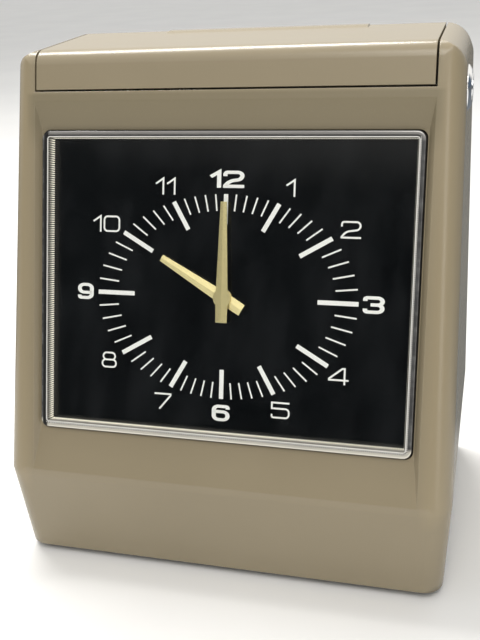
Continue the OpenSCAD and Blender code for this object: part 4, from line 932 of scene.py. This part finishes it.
def motor_looks():
    """Rear bearings and tags of the two drive motors."""
    parts = []
    for x0, out, y, z in MOTOR_ENDS:
        bearing = [(-0.1 * out, 5.0), (0.7 * out, 4.8), (0.9 * out, 4.4), (1.2 * out, 2.2),
                   (1.3 * out, 1.2)]
        parts.append(lathe(bearing, (x0, y, z), "X", 40))
        low, far = sorted((x0 - 0.1 * out, x0 + 2.6 * out))
        for dz in (-6.5, 6.5):
            parts.append(block((low, y - 1.4, z + dz - 0.25), (far, y + 1.4, z + dz + 0.25), 0.1))
    joined_piece("motor_ends", parts, "frame", STEEL)


def chip_legs(start, end, near, far, place):
    """Two rows of legs beside a chip; place(along, across, z) puts a corner on the board."""
    legs = []
    at = start + 1.6
    while at < end - 1:
        for edge, out in ((near, -1), (far, 1)):
            low, high = sorted((edge - 0.1 * out, edge + 1.5 * out))
            legs.append(block(place(at - LEG_HALF, low, LEG_Z[0]),
                              place(at + LEG_HALF, high, LEG_Z[1]), 0.1))
        at += LEG_PITCH
    return legs


def board_looks():
    """Legs of the board's chips, its small resistors and the tops of its capacitors."""
    legs = chip_legs(*CHIP_X, lambda along, across, z: (along, across, z))
    legs += chip_legs(*CHIP_Y, lambda along, across, z: (across, along, z))
    bodies, bands = [], []
    for i in range(RESISTORS):
        centre = (RESISTOR_X + RESISTOR_PITCH * i, RESISTOR_Y, RESISTOR_Z)
        bodies.append(lathe(RESISTOR_BODY, centre, "Y", 16))
        for k in (1.9, 2.7, 3.5):
            bands.append(lathe([(k, 0.93), (k + 0.4, 0.93)], centre, "Y", 16))
        legs.append(lathe([(-1.6, 0.28), (7.6, 0.28)], centre, "Y", 8))
    tops = [lathe([(-0.5, 4.4), (0.08, 4.4), (0.12, 4.0)], at, "Z", 40) for at in CAN_TOPS]
    joined_piece("board_legs", legs, "frame", STEEL)
    joined_piece("board_resistors", bodies, "frame", WHITE)
    joined_piece("board_bands", bands, "frame", BRASS)
    joined_piece("board_cans", tops, "frame", ZINC)


def inlet_pins():
    """The three flat pins of the power inlet."""
    pins = [block((x - PIN_HALF_X, PIN_Y[0], z - PIN_HALF_Z),
                  (x + PIN_HALF_X, PIN_Y[1], z + PIN_HALF_Z), 0.4) for x, z in PIN_PLACES]
    joined_piece("inlet_pins", pins, "frame", STEEL)


transformer_looks()
motor_looks()
board_looks()
inlet_pins()


# ---------------------------------------------------------------- floor and light

FLOOR_HALF = 9


def stage_floor():
    s = Shader("floor")
    cloud = s.remap(s.noise(6, 3), 0.3, 0.7)
    tint = s.blend(cloud, (0.80, 0.80, 0.80, 1), (0.84, 0.84, 0.835, 1))
    # painted reflection: in glossy rays only, the floor behind the case is dark and bluish, so
    # the case's side mirrors it dim, as in a room
    path = s.add("ShaderNodeLightPath")
    behind = s.product(s.remap(s.axes()[1], 0.02, 0.10), path.outputs["Is Glossy Ray"])
    tint = s.blend(behind, tint, (0.085, 0.10, 0.12, 1))
    mesh = bpy.data.meshes.new("floor")
    h = FLOOR_HALF
    mesh.from_pydata([(-h, -h, 0), (h, -h, 0), (h, h, 0), (-h, h, 0)], [], [(0, 1, 2, 3)])
    mesh.materials.append(s.finish(s.principled(tint, 0.6)))
    floor = bpy.data.objects.new("floor", mesh)
    scene.collection.objects.link(floor)


def world_light():
    """A pale studio: bright above, dark low in front where the window mirrors it."""
    world = bpy.data.worlds.new("studio")
    world.use_nodes = True
    scene.world = world
    w = Nodes(world.node_tree)
    way = w.add("ShaderNodeTexCoord").outputs["Generated"]
    split = w.add("ShaderNodeSeparateXYZ", {"Vector": way})
    across, back, up = (split.outputs[axis] for axis in "XYZ")
    path = w.add("ShaderNodeLightPath")

    soft = w.blend(w.remap(up, 0.15, 0.75), (0.16, 0.165, 0.17, 1), (0.95, 0.94, 0.92, 1))
    soft = w.blend(w.remap(across, 0.1, 0.9), soft, (0.16, 0.18, 0.20, 1))

    squash = w.add("ShaderNodeMapping", {"Vector": way, "Scale": (7.0, 7.0, 1.6)})
    streaks = w.add("ShaderNodeTexNoise", {"Vector": squash.outputs["Vector"]}).outputs["Fac"]
    dim = w.blend(w.remap(streaks, 0.42, 0.66), (0.016, 0.018, 0.022, 1), (0.15, 0.155, 0.165, 1))
    front = w.blend(w.remap(up, 0.34, 0.54), dim, (0.95, 0.94, 0.91, 1))
    rear = w.blend(w.remap(up, -0.05, 0.25), (0.40, 0.41, 0.43, 1), (1.1, 1.08, 1.02, 1))
    mirrored = w.blend(w.remap(back, -0.30, 0.10), front, rear)
    mirrored = w.blend(w.remap(across, 0.75, 0.9), mirrored, (0.10, 0.13, 0.17, 1))

    lit = w.blend(path.outputs["Is Glossy Ray"], soft, mirrored)
    seen = w.blend(path.outputs["Is Camera Ray"], lit, (0.85, 0.85, 0.85, 1))
    light = w.add("ShaderNodeBackground", {"Color": seen})
    w.add("ShaderNodeOutputWorld", {"Surface": light.outputs[0]})


def lamp(name, at, aim, size, power, color):
    data = bpy.data.lights.new(name, "AREA")
    data.shape = "RECTANGLE"
    data.size, data.size_y = size
    data.energy = power
    data.color = color
    obj = bpy.data.objects.new(name, data)
    scene.collection.objects.link(obj)
    obj.location = at
    obj.rotation_euler = (Vector(aim) - Vector(at)).to_track_quat("-Z", "Y").to_euler()


stage_floor()
world_light()
lamp("key", (0.30, -1.0, 1.45), (0, 0, 0.12), (0.9, 0.9), 12, (1.0, 0.97, 0.92))
lamp("top", (-0.38, 0.48, 1.30), (0, 0, 0.2), (0.9, 0.24), 17, (1.0, 0.98, 0.94))
lamp("strip", (0.85, -1.15, 0.45), (0, 0, 0.14), (0.22, 0.8), 2.2, (1.0, 0.95, 0.88))
